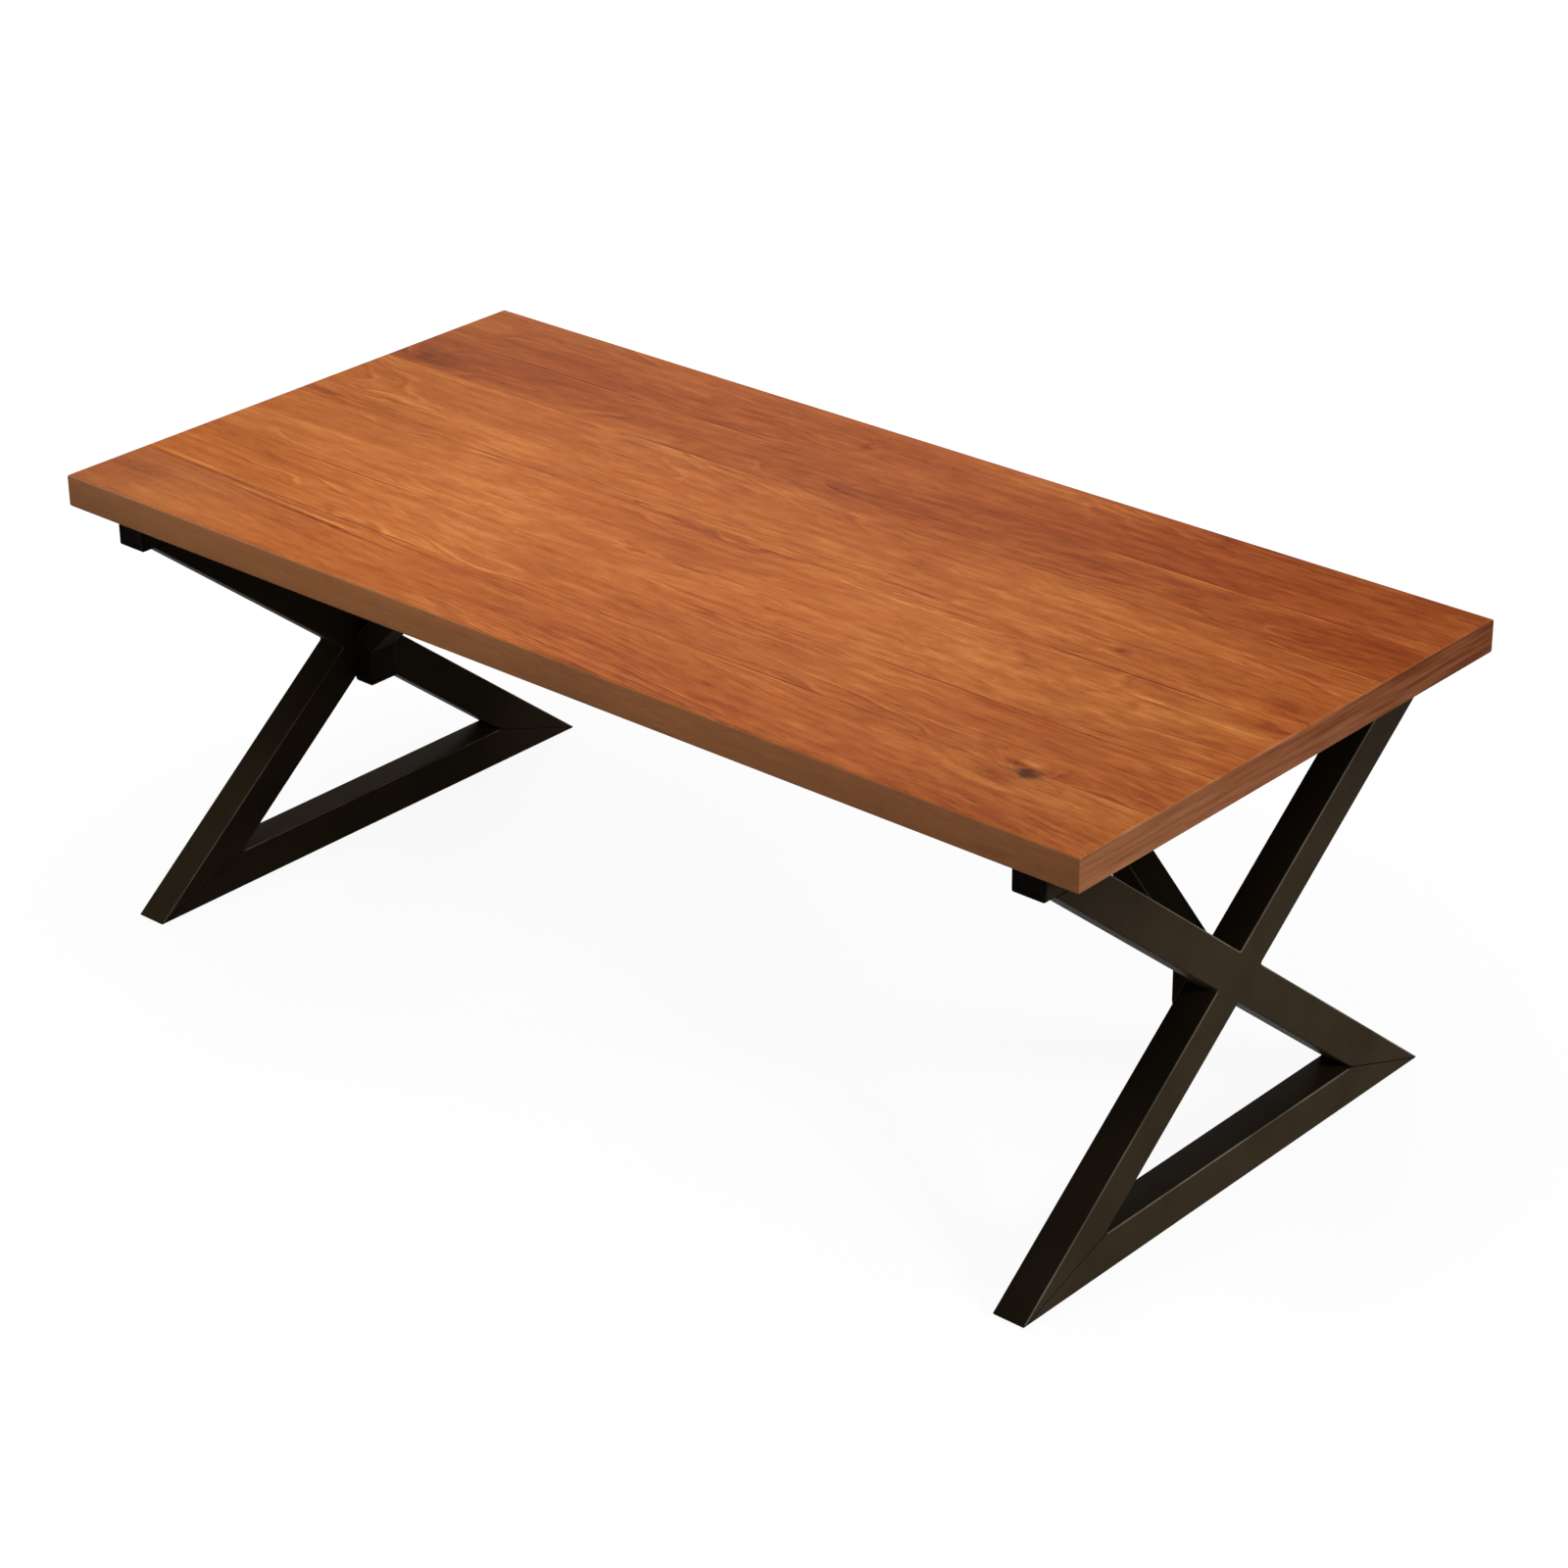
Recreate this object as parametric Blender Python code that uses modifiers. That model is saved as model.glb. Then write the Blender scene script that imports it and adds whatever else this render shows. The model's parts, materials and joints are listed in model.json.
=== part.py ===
"""Dining table: a thick plank top on two crossed-leg frames of painted box section.

Metres, +Z up. The origin is on the floor under the middle of the top, with the top's length along X.
"""

import math

import bmesh
import bpy
from mathutils import Matrix, Vector

# Top: boards glued edge to edge, with their grain along X.
TABLE_HEIGHT = 0.760
TOP_LENGTH = 2.000
TOP_THICKNESS = 0.054
BOARD_WIDTHS = (0.155, 0.140, 0.190, 0.205, 0.120, 0.160)  # front to back
TOP_ARRIS = 0.004  # rounding of the top's outer edges
TONGUE_THICKNESS = 0.012  # tongue on the back edge of a board, in a groove of the next one
TONGUE_REACH = 0.010
TONGUE_STOP = 0.060  # end of the top to the end of a tongue, so that no joint shows there

# Leg frames: rail, diagonals and floor bar, all of one depth along X.
FRAME_INSET = 0.078  # end of the top to the outer face of a frame
TUBE_DEPTH = 0.056
TUBE_WALL = 0.0025
TUBE_CORNER = 0.003  # outer corner radius
RAIL_HEIGHT = 0.052
RAIL_LENGTH = 0.910  # over the end caps
LEG_WIDTH = 0.064  # diagonals and floor bar, in the plane of the frame
FOOT_SPREAD = 0.970  # floor bar, tip to tip
LEG_TOP_SETBACK = 0.024  # end of the rail to the upper corner of a diagonal

# Braces: an upright shoe on the inner side of the crossing, mitred to a sloping tube.
BRACE_WIDTH = 0.060
BRACE_DEPTH = 0.040
BRACE_WALL = 0.002
BRACE_ANGLE = math.radians(45)  # above the floor
SHOE_DROP = 0.071  # crossing down to the shoe's lower end
SHOE_RISE = 0.009  # crossing up to the outer corner of the bend

# Brace plates, screwed to the underside of the top.
PLATE_THICKNESS = 0.005
PLATE_MARGIN = 0.026  # plate around the end of the brace
PLATE_CORNER = 0.008

# Plastic end caps and rubber floor pads.
CAP_FLANGE = 0.003
CAP_PLUG = 0.018
CAP_ARRIS = 0.001
PAD_LENGTH = 0.090
PAD_WIDTH = 0.036
PAD_THICKNESS = 0.002
PAD_CORNER = 0.006
PAD_INSET = 0.060  # tip of the floor bar to the end of a pad

# Bolts up through the rails, and their threaded inserts in the top.
BOLT_DIAMETER = 0.008
BOLT_REACH = 0.030  # length inside the top
BOLT_CHAMFER = 0.001
BOLT_HEAD_LIP = 0.004  # head beyond the shank
BOLT_HEAD_RIM = 0.0012
BOLT_HEAD_HEIGHT = 0.0045
BOLT_HEAD_CROWN = 0.003  # lip to the flat of the button head
BOLT_SOCKET = 0.005  # across the flats of the hexagon
BOLT_SOCKET_DEPTH = 0.0025
BOLT_HOLE_CLEARANCE = 0.0005  # around the bolt in the rail
INSERT_WALL = 0.002
INSERT_LENGTH = 0.020

# Wood screws through the brace plates.
SCREW_DIAMETER = 0.0042
SCREW_REACH = 0.025  # length inside the top
SCREW_POINT = 0.006
SCREW_HEAD_LIP = 0.0024  # head beyond the shank
SCREW_HEAD_RIM = 0.0012
SCREW_HEAD_HEIGHT = 0.003
SCREW_HEAD_CROWN = 0.0014  # lip to the flat of the pan head
SCREW_SLOT_LENGTH = 0.005
SCREW_SLOT_WIDTH = 0.0012
SCREW_SLOT_DEPTH = 0.0012

# Clearance between neighbouring pieces, spare depth of blind holes, and how far a cutter overshoots.
FIT_GAP = 0.0003
HOLE_SPARE = 0.004
OVERSHOOT = 0.005
CORNER_LIMIT = 0.45  # largest corner radius, as a share of the narrower side

# Facets of the round shapes.
CORNER_STEPS = 3
ROUND_STEPS = 16
SMOOTH_ANGLE = math.radians(35)

UNDER_TOP = TABLE_HEIGHT - TOP_THICKNESS
FRAME_X = TOP_LENGTH / 2 - FRAME_INSET - TUBE_DEPTH / 2
FLOOR_BAR_BOTTOM = PAD_THICKNESS + FIT_GAP
RAIL_TOP = UNDER_TOP - FIT_GAP
RAIL_BOTTOM = RAIL_TOP - RAIL_HEIGHT
LEG_TOP = RAIL_BOTTOM - FIT_GAP

# A diagonal's upper edge starts at the tip of the foot. Its lower edge ends at the setback under the rail.
LEG_RUN = FOOT_SPREAD / 2 + RAIL_LENGTH / 2 - LEG_TOP_SETBACK
LEG_RISE = LEG_TOP - FLOOR_BAR_BOTTOM
LEG_ANGLE = math.atan2(LEG_RISE, LEG_RUN) + math.asin(LEG_WIDTH / math.hypot(LEG_RUN, LEG_RISE))
CROSSING_Z = FLOOR_BAR_BOTTOM + FOOT_SPREAD / 2 * math.tan(LEG_ANGLE) - LEG_WIDTH / 2 / math.cos(LEG_ANGLE)

parts = None
cutters = None


def clear_scene():
    for obj in list(bpy.data.objects):
        bpy.data.objects.remove(obj, do_unlink=True)


def new_collection(name):
    collection = bpy.data.collections.new(name)
    bpy.context.scene.collection.children.link(collection)
    return collection


def finish(name, colour, roughness, metallic=0.0):
    material = bpy.data.materials.new(name)
    material.use_nodes = True
    shader = material.node_tree.nodes["Principled BSDF"]
    shader.inputs["Base Color"].default_value = (*colour, 1.0)
    shader.inputs["Roughness"].default_value = roughness
    shader.inputs["Metallic"].default_value = metallic
    return material


def evaluated_mesh(obj):
    """The mesh that an object's curve or modifiers make, welded. The object is removed."""
    bpy.context.view_layer.update()
    graph = bpy.context.evaluated_depsgraph_get()
    mesh = bpy.data.meshes.new_from_object(obj.evaluated_get(graph))
    mesh.name = obj.name
    bpy.data.objects.remove(obj, do_unlink=True)
    bm = bmesh.new()
    bm.from_mesh(mesh)
    bmesh.ops.remove_doubles(bm, verts=bm.verts, dist=1e-6)
    bmesh.ops.recalc_face_normals(bm, faces=bm.faces)
    bm.to_mesh(mesh)
    bm.free()
    return mesh


def rounded_rectangle(width, depth, radius):
    """Points of a rectangle centred on the origin, with an arc of the given radius at each corner."""
    radius = min(radius, CORNER_LIMIT * min(width, depth))
    points = []
    for quarter in range(4):
        start = quarter * math.pi / 2
        middle = start + math.pi / 4
        centre_x = math.copysign(width / 2 - radius, math.cos(middle))
        centre_y = math.copysign(depth / 2 - radius, math.sin(middle))
        for step in range(CORNER_STEPS + 1):
            angle = start + step / CORNER_STEPS * math.pi / 2
            points.append((centre_x + radius * math.cos(angle), centre_y + radius * math.sin(angle)))
    return points


def circle(x, y, radius):
    turns = [2 * math.pi * step / ROUND_STEPS for step in range(ROUND_STEPS)]
    return [(x + radius * math.cos(turn), y + radius * math.sin(turn)) for turn in turns]


def extruded(name, outlines, thickness):
    """A flat outline, with any further outlines as holes in it, extruded along Z about the origin."""
    curve = bpy.data.curves.new(name, "CURVE")
    curve.dimensions = "2D"
    curve.fill_mode = "BOTH"
    curve.extrude = thickness / 2
    for outline in outlines:
        spline = curve.splines.new("POLY")
        spline.points.add(len(outline) - 1)
        for point, (x, y) in zip(spline.points, outline):
            point.co = (x, y, 0, 1)
        spline.use_cyclic_u = True
    obj = bpy.data.objects.new(name, curve)
    bpy.context.scene.collection.objects.link(obj)
    mesh = evaluated_mesh(obj)
    bpy.data.curves.remove(curve)
    return mesh


def turned(name, profile, closed=False):
    """A profile of (radius, height) points, listed down its outer side, turned about Z."""
    mesh = bpy.data.meshes.new(name + "_profile")
    edges = [(i, i + 1) for i in range(len(profile) - 1)]
    if closed:
        edges.append((len(profile) - 1, 0))
    mesh.from_pydata([(radius, 0, height) for radius, height in profile], edges, [])
    obj = bpy.data.objects.new(name, mesh)
    bpy.context.scene.collection.objects.link(obj)
    screw = obj.modifiers.new("turn", "SCREW")
    screw.steps = screw.render_steps = ROUND_STEPS
    screw.use_merge_vertices = True
    screw.merge_threshold = 1e-6
    return evaluated_mesh(obj)


def combined(first, second, operation):
    """The Boolean of two meshes that lie in one frame."""
    objects = [bpy.data.objects.new(mesh.name, mesh) for mesh in (first, second)]
    for obj in objects:
        bpy.context.scene.collection.objects.link(obj)
    boolean = objects[0].modifiers.new(operation.lower(), "BOOLEAN")
    boolean.operation = operation
    boolean.object = objects[1]
    mesh = evaluated_mesh(objects[0])
    bpy.data.objects.remove(objects[1], do_unlink=True)
    return mesh


def tube_mesh(name, width, depth, wall, low, high):
    """A box section along Z, width across X. Each end is cut by a plane z = level + slope * x."""
    inner_corner = max(TUBE_CORNER - wall, FIT_GAP)
    outer = rounded_rectangle(width, depth, TUBE_CORNER)
    inner = rounded_rectangle(width - 2 * wall, depth - 2 * wall, inner_corner)
    mesh = extruded(name, [outer, inner], high[0] - low[0])
    for vertex in mesh.vertices:
        level, slope = high if vertex.co.z > 0 else low
        vertex.co.z = level + slope * vertex.co.x
    return mesh


def cap_mesh(name, width, depth, wall):
    """A plug with a flange. The flange's seat on the end of the tube is at z = 0, and the plug points up."""
    flange = extruded(name, [rounded_rectangle(width, depth, TUBE_CORNER)], CAP_FLANGE)
    flange.transform(Matrix.Translation((0, 0, -CAP_FLANGE / 2)))
    bm = bmesh.new()
    bm.from_mesh(flange)
    sharp = [edge for edge in bm.edges if edge.calc_face_angle(0.0) > SMOOTH_ANGLE]
    rim = [edge for edge in sharp if edge.verts[0].co.z < -CAP_FLANGE / 2]
    bmesh.ops.bevel(bm, geom=rim, offset=CAP_ARRIS, segments=2, profile=0.5, affect="EDGES")
    bm.to_mesh(flange)
    bm.free()
    room = 2 * (wall + FIT_GAP)
    outline = rounded_rectangle(width - room, depth - room, max(TUBE_CORNER - wall, FIT_GAP))
    sunk = CAP_FLANGE / 2
    plug = extruded(name + "_plug", [outline], CAP_PLUG + sunk)
    plug.transform(Matrix.Translation((0, 0, (CAP_PLUG - sunk) / 2)))
    return combined(flange, plug, "UNION")


def axes_matrix(origin, across, along):
    """A frame with its X across and its Z along a tube."""
    across, along = Vector(across).normalized(), Vector(along).normalized()
    side = along.cross(across)
    columns = Matrix((across, side, along)).transposed()
    return Matrix.Translation(origin) @ columns.to_4x4()


def place(name, mesh, material, matrix, parent=None):
    """Adds one piece of the table, in its parent's frame."""
    if not mesh.materials:
        mesh.materials.append(material)
    mesh.shade_smooth()
    mesh.set_sharp_from_angle(angle=SMOOTH_ANGLE)
    obj = bpy.data.objects.new(name, mesh)
    parts.objects.link(obj)
    obj.parent = parent
    obj.location, obj.rotation_euler = matrix.to_translation(), matrix.to_euler()
    return obj


def mesh_from(name, bm):
    mesh = bpy.data.meshes.new(name)
    bm.to_mesh(mesh)
    bm.free()
    return mesh


def cylinder(bm, x, y, radius, bottom, top, sides=ROUND_STEPS):
    middle = Matrix.Translation((x, y, (bottom + top) / 2))
    bmesh.ops.create_cone(bm, cap_ends=True, segments=sides, radius1=radius, radius2=radius,
                          depth=top - bottom, matrix=middle)


def box_mesh(name, size, matrix):
    bm = bmesh.new()
    bmesh.ops.create_cube(bm, size=1.0, matrix=matrix @ Matrix.Diagonal((*size, 1.0)))
    return mesh_from(name, bm)


def helper(mesh):
    """A hidden object that shapes others."""
    obj = bpy.data.objects.new(mesh.name, mesh)
    cutters.objects.link(obj)
    obj.hide_render = True
    obj.display_type = "WIRE"
    return obj


def hole_cutter(name, cylinders):
    """One hidden object of upright cylinders, each (x, y, radius, bottom, top)."""
    bm = bmesh.new()
    for x, y, radius, bottom, top in cylinders:
        cylinder(bm, x, y, radius, bottom, top)
    return helper(mesh_from(name, bm))


def shape(obj, operation, tool):
    boolean = obj.modifiers.new(tool.name, "BOOLEAN")
    boolean.operation = operation
    boolean.object = tool


def board_edges():
    """The y of each joint and of the two long edges, front to back."""
    edges = [-sum(BOARD_WIDTHS) / 2]
    for width in BOARD_WIDTHS:
        edges.append(edges[-1] + width)
    return edges


def bolt_rows():
    """The y of each bolt: every board but the outer two is bolted at its middle."""
    edges = board_edges()
    middles = [(low + high) / 2 for low, high in zip(edges, edges[1:])]
    return middles[1:-1]


def board_mesh(name, width, outer_side):
    """A board whose ends are eased, and its outer long edge too where outer_side is -1 or 1."""
    bm = bmesh.new()
    bmesh.ops.create_cube(bm, size=1.0, matrix=Matrix.Diagonal((TOP_LENGTH, width, TOP_THICKNESS, 1.0)))
    weight = bm.edges.layers.float.new("bevel_weight_edge")
    for edge in bm.edges:
        a, b = (vertex.co for vertex in edge.verts)
        across_end = abs(a.x - b.x) < FIT_GAP and abs(a.y - b.y) > FIT_GAP
        on_outer_side = abs(a.y - b.y) < FIT_GAP and a.y * outer_side > 0
        edge[weight] = 1.0 if across_end or on_outer_side else 0.0
    return mesh_from(name, bm)


def joint_tools(number, y):
    """The tongue and the groove of the joint at y. The tongue starts inside the board in front."""
    length = TOP_LENGTH - 2 * TONGUE_STOP
    middle_z = UNDER_TOP + TOP_THICKNESS / 2
    tools = []
    for name, gap in (("tongue", 0.0), ("groove", FIT_GAP)):
        front, back = y - TONGUE_REACH, y + TONGUE_REACH + gap
        size = (length + 2 * gap, back - front, TONGUE_THICKNESS + 2 * gap)
        middle = Matrix.Translation((0, (front + back) / 2, middle_z))
        tools.append(helper(box_mesh(f"{name}_{number}", size, middle)))
    return tools


def add_top(holes):
    wood = finish("lacquered_wood", (0.40, 0.11, 0.035), 0.38)
    edges = board_edges()
    last = len(BOARD_WIDTHS) - 1
    joints = [joint_tools(number, y) for number, y in enumerate(edges[1:-1], 1)]
    for index in range(len(BOARD_WIDTHS)):
        name = f"top_board_{index + 1}"
        outer_side = {0: -1, last: 1}.get(index, 0)
        front = edges[index] + (FIT_GAP / 2 if index > 0 else 0)
        back = edges[index + 1] - (FIT_GAP / 2 if index < last else 0)
        mesh = board_mesh(name, back - front, outer_side)
        middle = Vector((0, (front + back) / 2, UNDER_TOP + TOP_THICKNESS / 2))
        board = place(name, mesh, wood, Matrix.Translation(middle))
        bevel = board.modifiers.new("eased_edges", "BEVEL")
        bevel.limit_method = "WEIGHT"
        bevel.width = TOP_ARRIS
        bevel.segments = CORNER_STEPS
        if index < last:
            shape(board, "UNION", joints[index][0])
        if index > 0:
            shape(board, "DIFFERENCE", joints[index - 1][1])
        shape(board, "DIFFERENCE", holes)


def mitre(slope):
    """How far along a tube a cut of this slope moves back for half of the gap at a joint."""
    return FIT_GAP / 2 * math.hypot(1, slope)


def leg_cuts():
    """The cuts of a diagonal, along it from the crossing: foot, below the crossing, above it, and rail."""
    half = LEG_WIDTH / 2
    tip = -FOOT_SPREAD / 2 * math.cos(LEG_ANGLE) - (CROSSING_Z - FLOOR_BAR_BOTTOM) * math.sin(LEG_ANGLE)
    foot_slope = -1 / math.tan(LEG_ANGLE / 2)
    foot = (tip - half * foot_slope + mitre(foot_slope), foot_slope)
    cross_slope = -1 / math.tan(2 * LEG_ANGLE)
    cross_level = (half + FIT_GAP) / math.sin(2 * LEG_ANGLE)
    rail = ((LEG_TOP - CROSSING_Z) / math.sin(LEG_ANGLE), -1 / math.tan(LEG_ANGLE))
    return foot, (-cross_level, cross_slope), (cross_level, cross_slope), rail


def leg_matrix(lean):
    """A diagonal's frame, at the crossing. It rises towards +Y where lean is 1, or -Y where it is -1."""
    along = (0, lean * math.cos(LEG_ANGLE), math.sin(LEG_ANGLE))
    across = (0, -lean * math.sin(LEG_ANGLE), math.cos(LEG_ANGLE))
    return axes_matrix((0, 0, CROSSING_Z), across, along)


def frame_meshes():
    """Each tube of a leg frame but its rail, as (name, mesh, matrix in the frame)."""
    foot, cross_low, cross_high, rail = leg_cuts()
    leg = (LEG_WIDTH, TUBE_DEPTH, TUBE_WALL)
    bar_slope = -1 / math.tan(LEG_ANGLE / 2)
    bar_level = FOOT_SPREAD / 2 + LEG_WIDTH / 2 * bar_slope - mitre(bar_slope)
    bar_ends = ((-bar_level, -bar_slope), (bar_level, bar_slope))
    bar_matrix = axes_matrix((0, 0, FLOOR_BAR_BOTTOM + LEG_WIDTH / 2), (0, 0, 1), (0, 1, 0))
    return [
        ("through_leg", tube_mesh("through_leg", *leg, foot, rail), leg_matrix(-1)),
        ("lower_half_leg", tube_mesh("lower_half_leg", *leg, foot, cross_low), leg_matrix(1)),
        ("upper_half_leg", tube_mesh("upper_half_leg", *leg, cross_high, rail), leg_matrix(1)),
        ("floor_bar", tube_mesh("floor_bar", *leg, *bar_ends), bar_matrix),
    ]


def brace_pieces():
    """The shoe and the brace as (name, mesh, matrix in the frame), and the x of the brace's upper end."""
    section = (BRACE_DEPTH, BRACE_WIDTH, BRACE_WALL)
    half = BRACE_DEPTH / 2
    bend_slope = math.tan((math.pi / 2 - BRACE_ANGLE) / 2)
    seat_x = -TUBE_DEPTH / 2 - FIT_GAP
    shoe_low = (-SHOE_DROP + CAP_FLANGE + FIT_GAP, 0.0)
    shoe_high = (SHOE_RISE - half * bend_slope - mitre(bend_slope), bend_slope)
    shoe_matrix = axes_matrix((seat_x - half, 0, CROSSING_Z), (1, 0, 0), (0, 0, 1))
    along = Vector((-math.cos(BRACE_ANGLE), 0, math.sin(BRACE_ANGLE)))
    across = Vector((math.sin(BRACE_ANGLE), 0, math.cos(BRACE_ANGLE)))
    start = Vector((seat_x, 0, CROSSING_Z + SHOE_RISE)) - half * across
    brace_top = UNDER_TOP - PLATE_THICKNESS - 2 * FIT_GAP
    length = (brace_top - start.z) / math.sin(BRACE_ANGLE)
    brace_low = (half * bend_slope + mitre(bend_slope), -bend_slope)
    brace_high = (length, -1 / math.tan(BRACE_ANGLE))
    pieces = [
        ("brace_shoe", tube_mesh("brace_shoe", *section, shoe_low, shoe_high), shoe_matrix),
        ("brace", tube_mesh("brace", *section, brace_low, brace_high), axes_matrix(start, across, along)),
    ]
    return pieces, (start + length * along).x


def plate_size():
    return BRACE_DEPTH / math.sin(BRACE_ANGLE) + 2 * PLATE_MARGIN, BRACE_WIDTH + 2 * PLATE_MARGIN


def screw_spots():
    """The screws of a brace plate, from its middle: one in the margin at each corner."""
    length, width = plate_size()
    x, y = (length - PLATE_MARGIN) / 2, (width - PLATE_MARGIN) / 2
    return [(-x, -y), (-x, y), (x, -y), (x, y)]


def plate_mesh():
    length, width = plate_size()
    holes = [circle(x, y, SCREW_DIAMETER / 2 + FIT_GAP) for x, y in screw_spots()]
    return extruded("brace_plate", [rounded_rectangle(length, width, PLATE_CORNER), *holes], PLATE_THICKNESS)


def bolt_mesh():
    """A button-head bolt pointing up, with the seat of its head at z = 0 and a hexagon socket below."""
    shank = BOLT_DIAMETER / 2
    head = shank + BOLT_HEAD_LIP
    tip = RAIL_HEIGHT + 2 * FIT_GAP + BOLT_REACH
    bottom = -BOLT_HEAD_HEIGHT
    profile = [(0, tip), (shank - BOLT_CHAMFER, tip), (shank, tip - BOLT_CHAMFER), (shank, 0), (head, 0)]
    profile += [(head, -BOLT_HEAD_RIM), (head - BOLT_HEAD_CROWN, bottom), (0, bottom)]
    bolt = turned("rail_bolt", profile)
    bm = bmesh.new()
    cylinder(bm, 0, 0, BOLT_SOCKET / math.sqrt(3), bottom - OVERSHOOT, bottom + BOLT_SOCKET_DEPTH, sides=6)
    return combined(bolt, mesh_from("socket", bm), "DIFFERENCE")


def insert_radius():
    return BOLT_DIAMETER / 2 + FIT_GAP + INSERT_WALL


def insert_mesh():
    """A threaded sleeve for a bolt, standing on z = 0."""
    outer, inner = insert_radius(), BOLT_DIAMETER / 2 + FIT_GAP
    profile = [(inner, INSERT_LENGTH), (outer, INSERT_LENGTH), (outer, 0), (inner, 0)]
    return turned("threaded_insert", profile, closed=True)


def screw_mesh():
    """A pan-head wood screw pointing up, with the seat of its head at z = 0 and a cross slot below."""
    shank = SCREW_DIAMETER / 2
    head = shank + SCREW_HEAD_LIP
    tip = PLATE_THICKNESS + 2 * FIT_GAP + SCREW_REACH
    bottom = -SCREW_HEAD_HEIGHT
    profile = [(0, tip), (shank, tip - SCREW_POINT), (shank, 0), (head, 0)]
    profile += [(head, -SCREW_HEAD_RIM), (head - SCREW_HEAD_CROWN, bottom), (0, bottom)]
    screw = turned("plate_screw", profile)
    for length, width in ((SCREW_SLOT_LENGTH, SCREW_SLOT_WIDTH), (SCREW_SLOT_WIDTH, SCREW_SLOT_LENGTH)):
        slot = box_mesh("slot", (length, width, 2 * SCREW_SLOT_DEPTH), Matrix.Translation((0, 0, bottom)))
        screw = combined(screw, slot, "DIFFERENCE")
    return screw


def add_frames(plate_x):
    """Both leg frames, each the same welded frame turned to face outwards."""
    paint = finish("leg_paint", (0.036, 0.026, 0.015), 0.50)
    plastic = finish("cap_plastic", (0.007, 0.006, 0.005), 0.60)
    rubber = finish("pad_rubber", (0.02, 0.02, 0.02), 0.85)
    tubes = frame_meshes() + brace_pieces()[0]
    rail_half = RAIL_LENGTH / 2 - CAP_FLANGE - FIT_GAP
    rail_cap = cap_mesh("rail_cap", RAIL_HEIGHT, TUBE_DEPTH, TUBE_WALL)
    shoe_cap = cap_mesh("shoe_cap", BRACE_DEPTH, BRACE_WIDTH, BRACE_WALL)
    pad = extruded("floor_pad", [rounded_rectangle(PAD_WIDTH, PAD_LENGTH, PAD_CORNER)], PAD_THICKNESS)
    plate = plate_mesh()
    seat_x = -TUBE_DEPTH / 2 - FIT_GAP - BRACE_DEPTH / 2
    shoe_cap_matrix = axes_matrix((seat_x, 0, CROSSING_Z - SHOE_DROP + CAP_FLANGE), (1, 0, 0), (0, 0, 1))
    plate_matrix = Matrix.Translation((plate_x, 0, UNDER_TOP - FIT_GAP - PLATE_THICKNESS / 2))
    bolt_holes = hole_cutter("rail_hole_cutter", [
        (x, y, BOLT_DIAMETER / 2 + BOLT_HOLE_CLEARANCE, RAIL_BOTTOM - OVERSHOOT, RAIL_TOP + OVERSHOOT)
        for x in (-FRAME_X, FRAME_X) for y in bolt_rows()
    ])
    for side, outward in (("left", -1), ("right", 1)):
        frame = bpy.data.objects.new(f"{side}_frame", None)
        parts.objects.link(frame)
        frame.location.x = outward * FRAME_X
        frame.rotation_euler.z = 0 if outward > 0 else math.pi
        for name, mesh, matrix in tubes:
            place(f"{side}_{name}", mesh, paint, matrix, frame)
        rail_mesh = tube_mesh("rail", RAIL_HEIGHT, TUBE_DEPTH, TUBE_WALL, (-rail_half, 0), (rail_half, 0))
        rail_matrix = axes_matrix((0, 0, RAIL_BOTTOM + RAIL_HEIGHT / 2), (0, 0, 1), (0, 1, 0))
        rail = place(f"{side}_rail", rail_mesh, paint, rail_matrix, frame)
        shape(rail, "DIFFERENCE", bolt_holes)
        for end, sign in (("front", -outward), ("back", outward)):
            cap_seat = (0, sign * (rail_half + FIT_GAP), RAIL_BOTTOM + RAIL_HEIGHT / 2)
            cap_matrix = axes_matrix(cap_seat, (0, 0, 1), (0, -sign, 0))
            place(f"{side}_rail_cap_{end}", rail_cap, plastic, cap_matrix, frame)
            pad_y = sign * (FOOT_SPREAD / 2 - PAD_INSET - PAD_LENGTH / 2)
            pad_matrix = Matrix.Translation((0, pad_y, PAD_THICKNESS / 2))
            place(f"{side}_floor_pad_{end}", pad, rubber, pad_matrix, frame)
        place(f"{side}_shoe_cap", shoe_cap, plastic, shoe_cap_matrix, frame)
        place(f"{side}_brace_plate", plate, paint, plate_matrix, frame)


def add_fasteners(plate_x):
    zinc = finish("zinc_plate", (0.55, 0.54, 0.50), 0.35, 1.0)
    brass = finish("insert_brass", (0.60, 0.42, 0.16), 0.40, 1.0)
    bolt, insert, screw = bolt_mesh(), insert_mesh(), screw_mesh()
    screw_seat = UNDER_TOP - PLATE_THICKNESS - 2 * FIT_GAP
    for side, outward in (("left", -1), ("right", 1)):
        for number, y in enumerate(bolt_rows(), 1):
            x = outward * FRAME_X
            seat = Matrix.Translation((x, y, RAIL_BOTTOM - FIT_GAP))
            place(f"{side}_rail_bolt_{number}", bolt, zinc, seat)
            place(f"{side}_insert_{number}", insert, brass, Matrix.Translation((x, y, UNDER_TOP)))
        for number, (x, y) in enumerate(screw_spots(), 1):
            seat = Matrix.Translation((outward * (FRAME_X + plate_x) + x, y, screw_seat))
            place(f"{side}_plate_screw_{number}", screw, zinc, seat)


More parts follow.
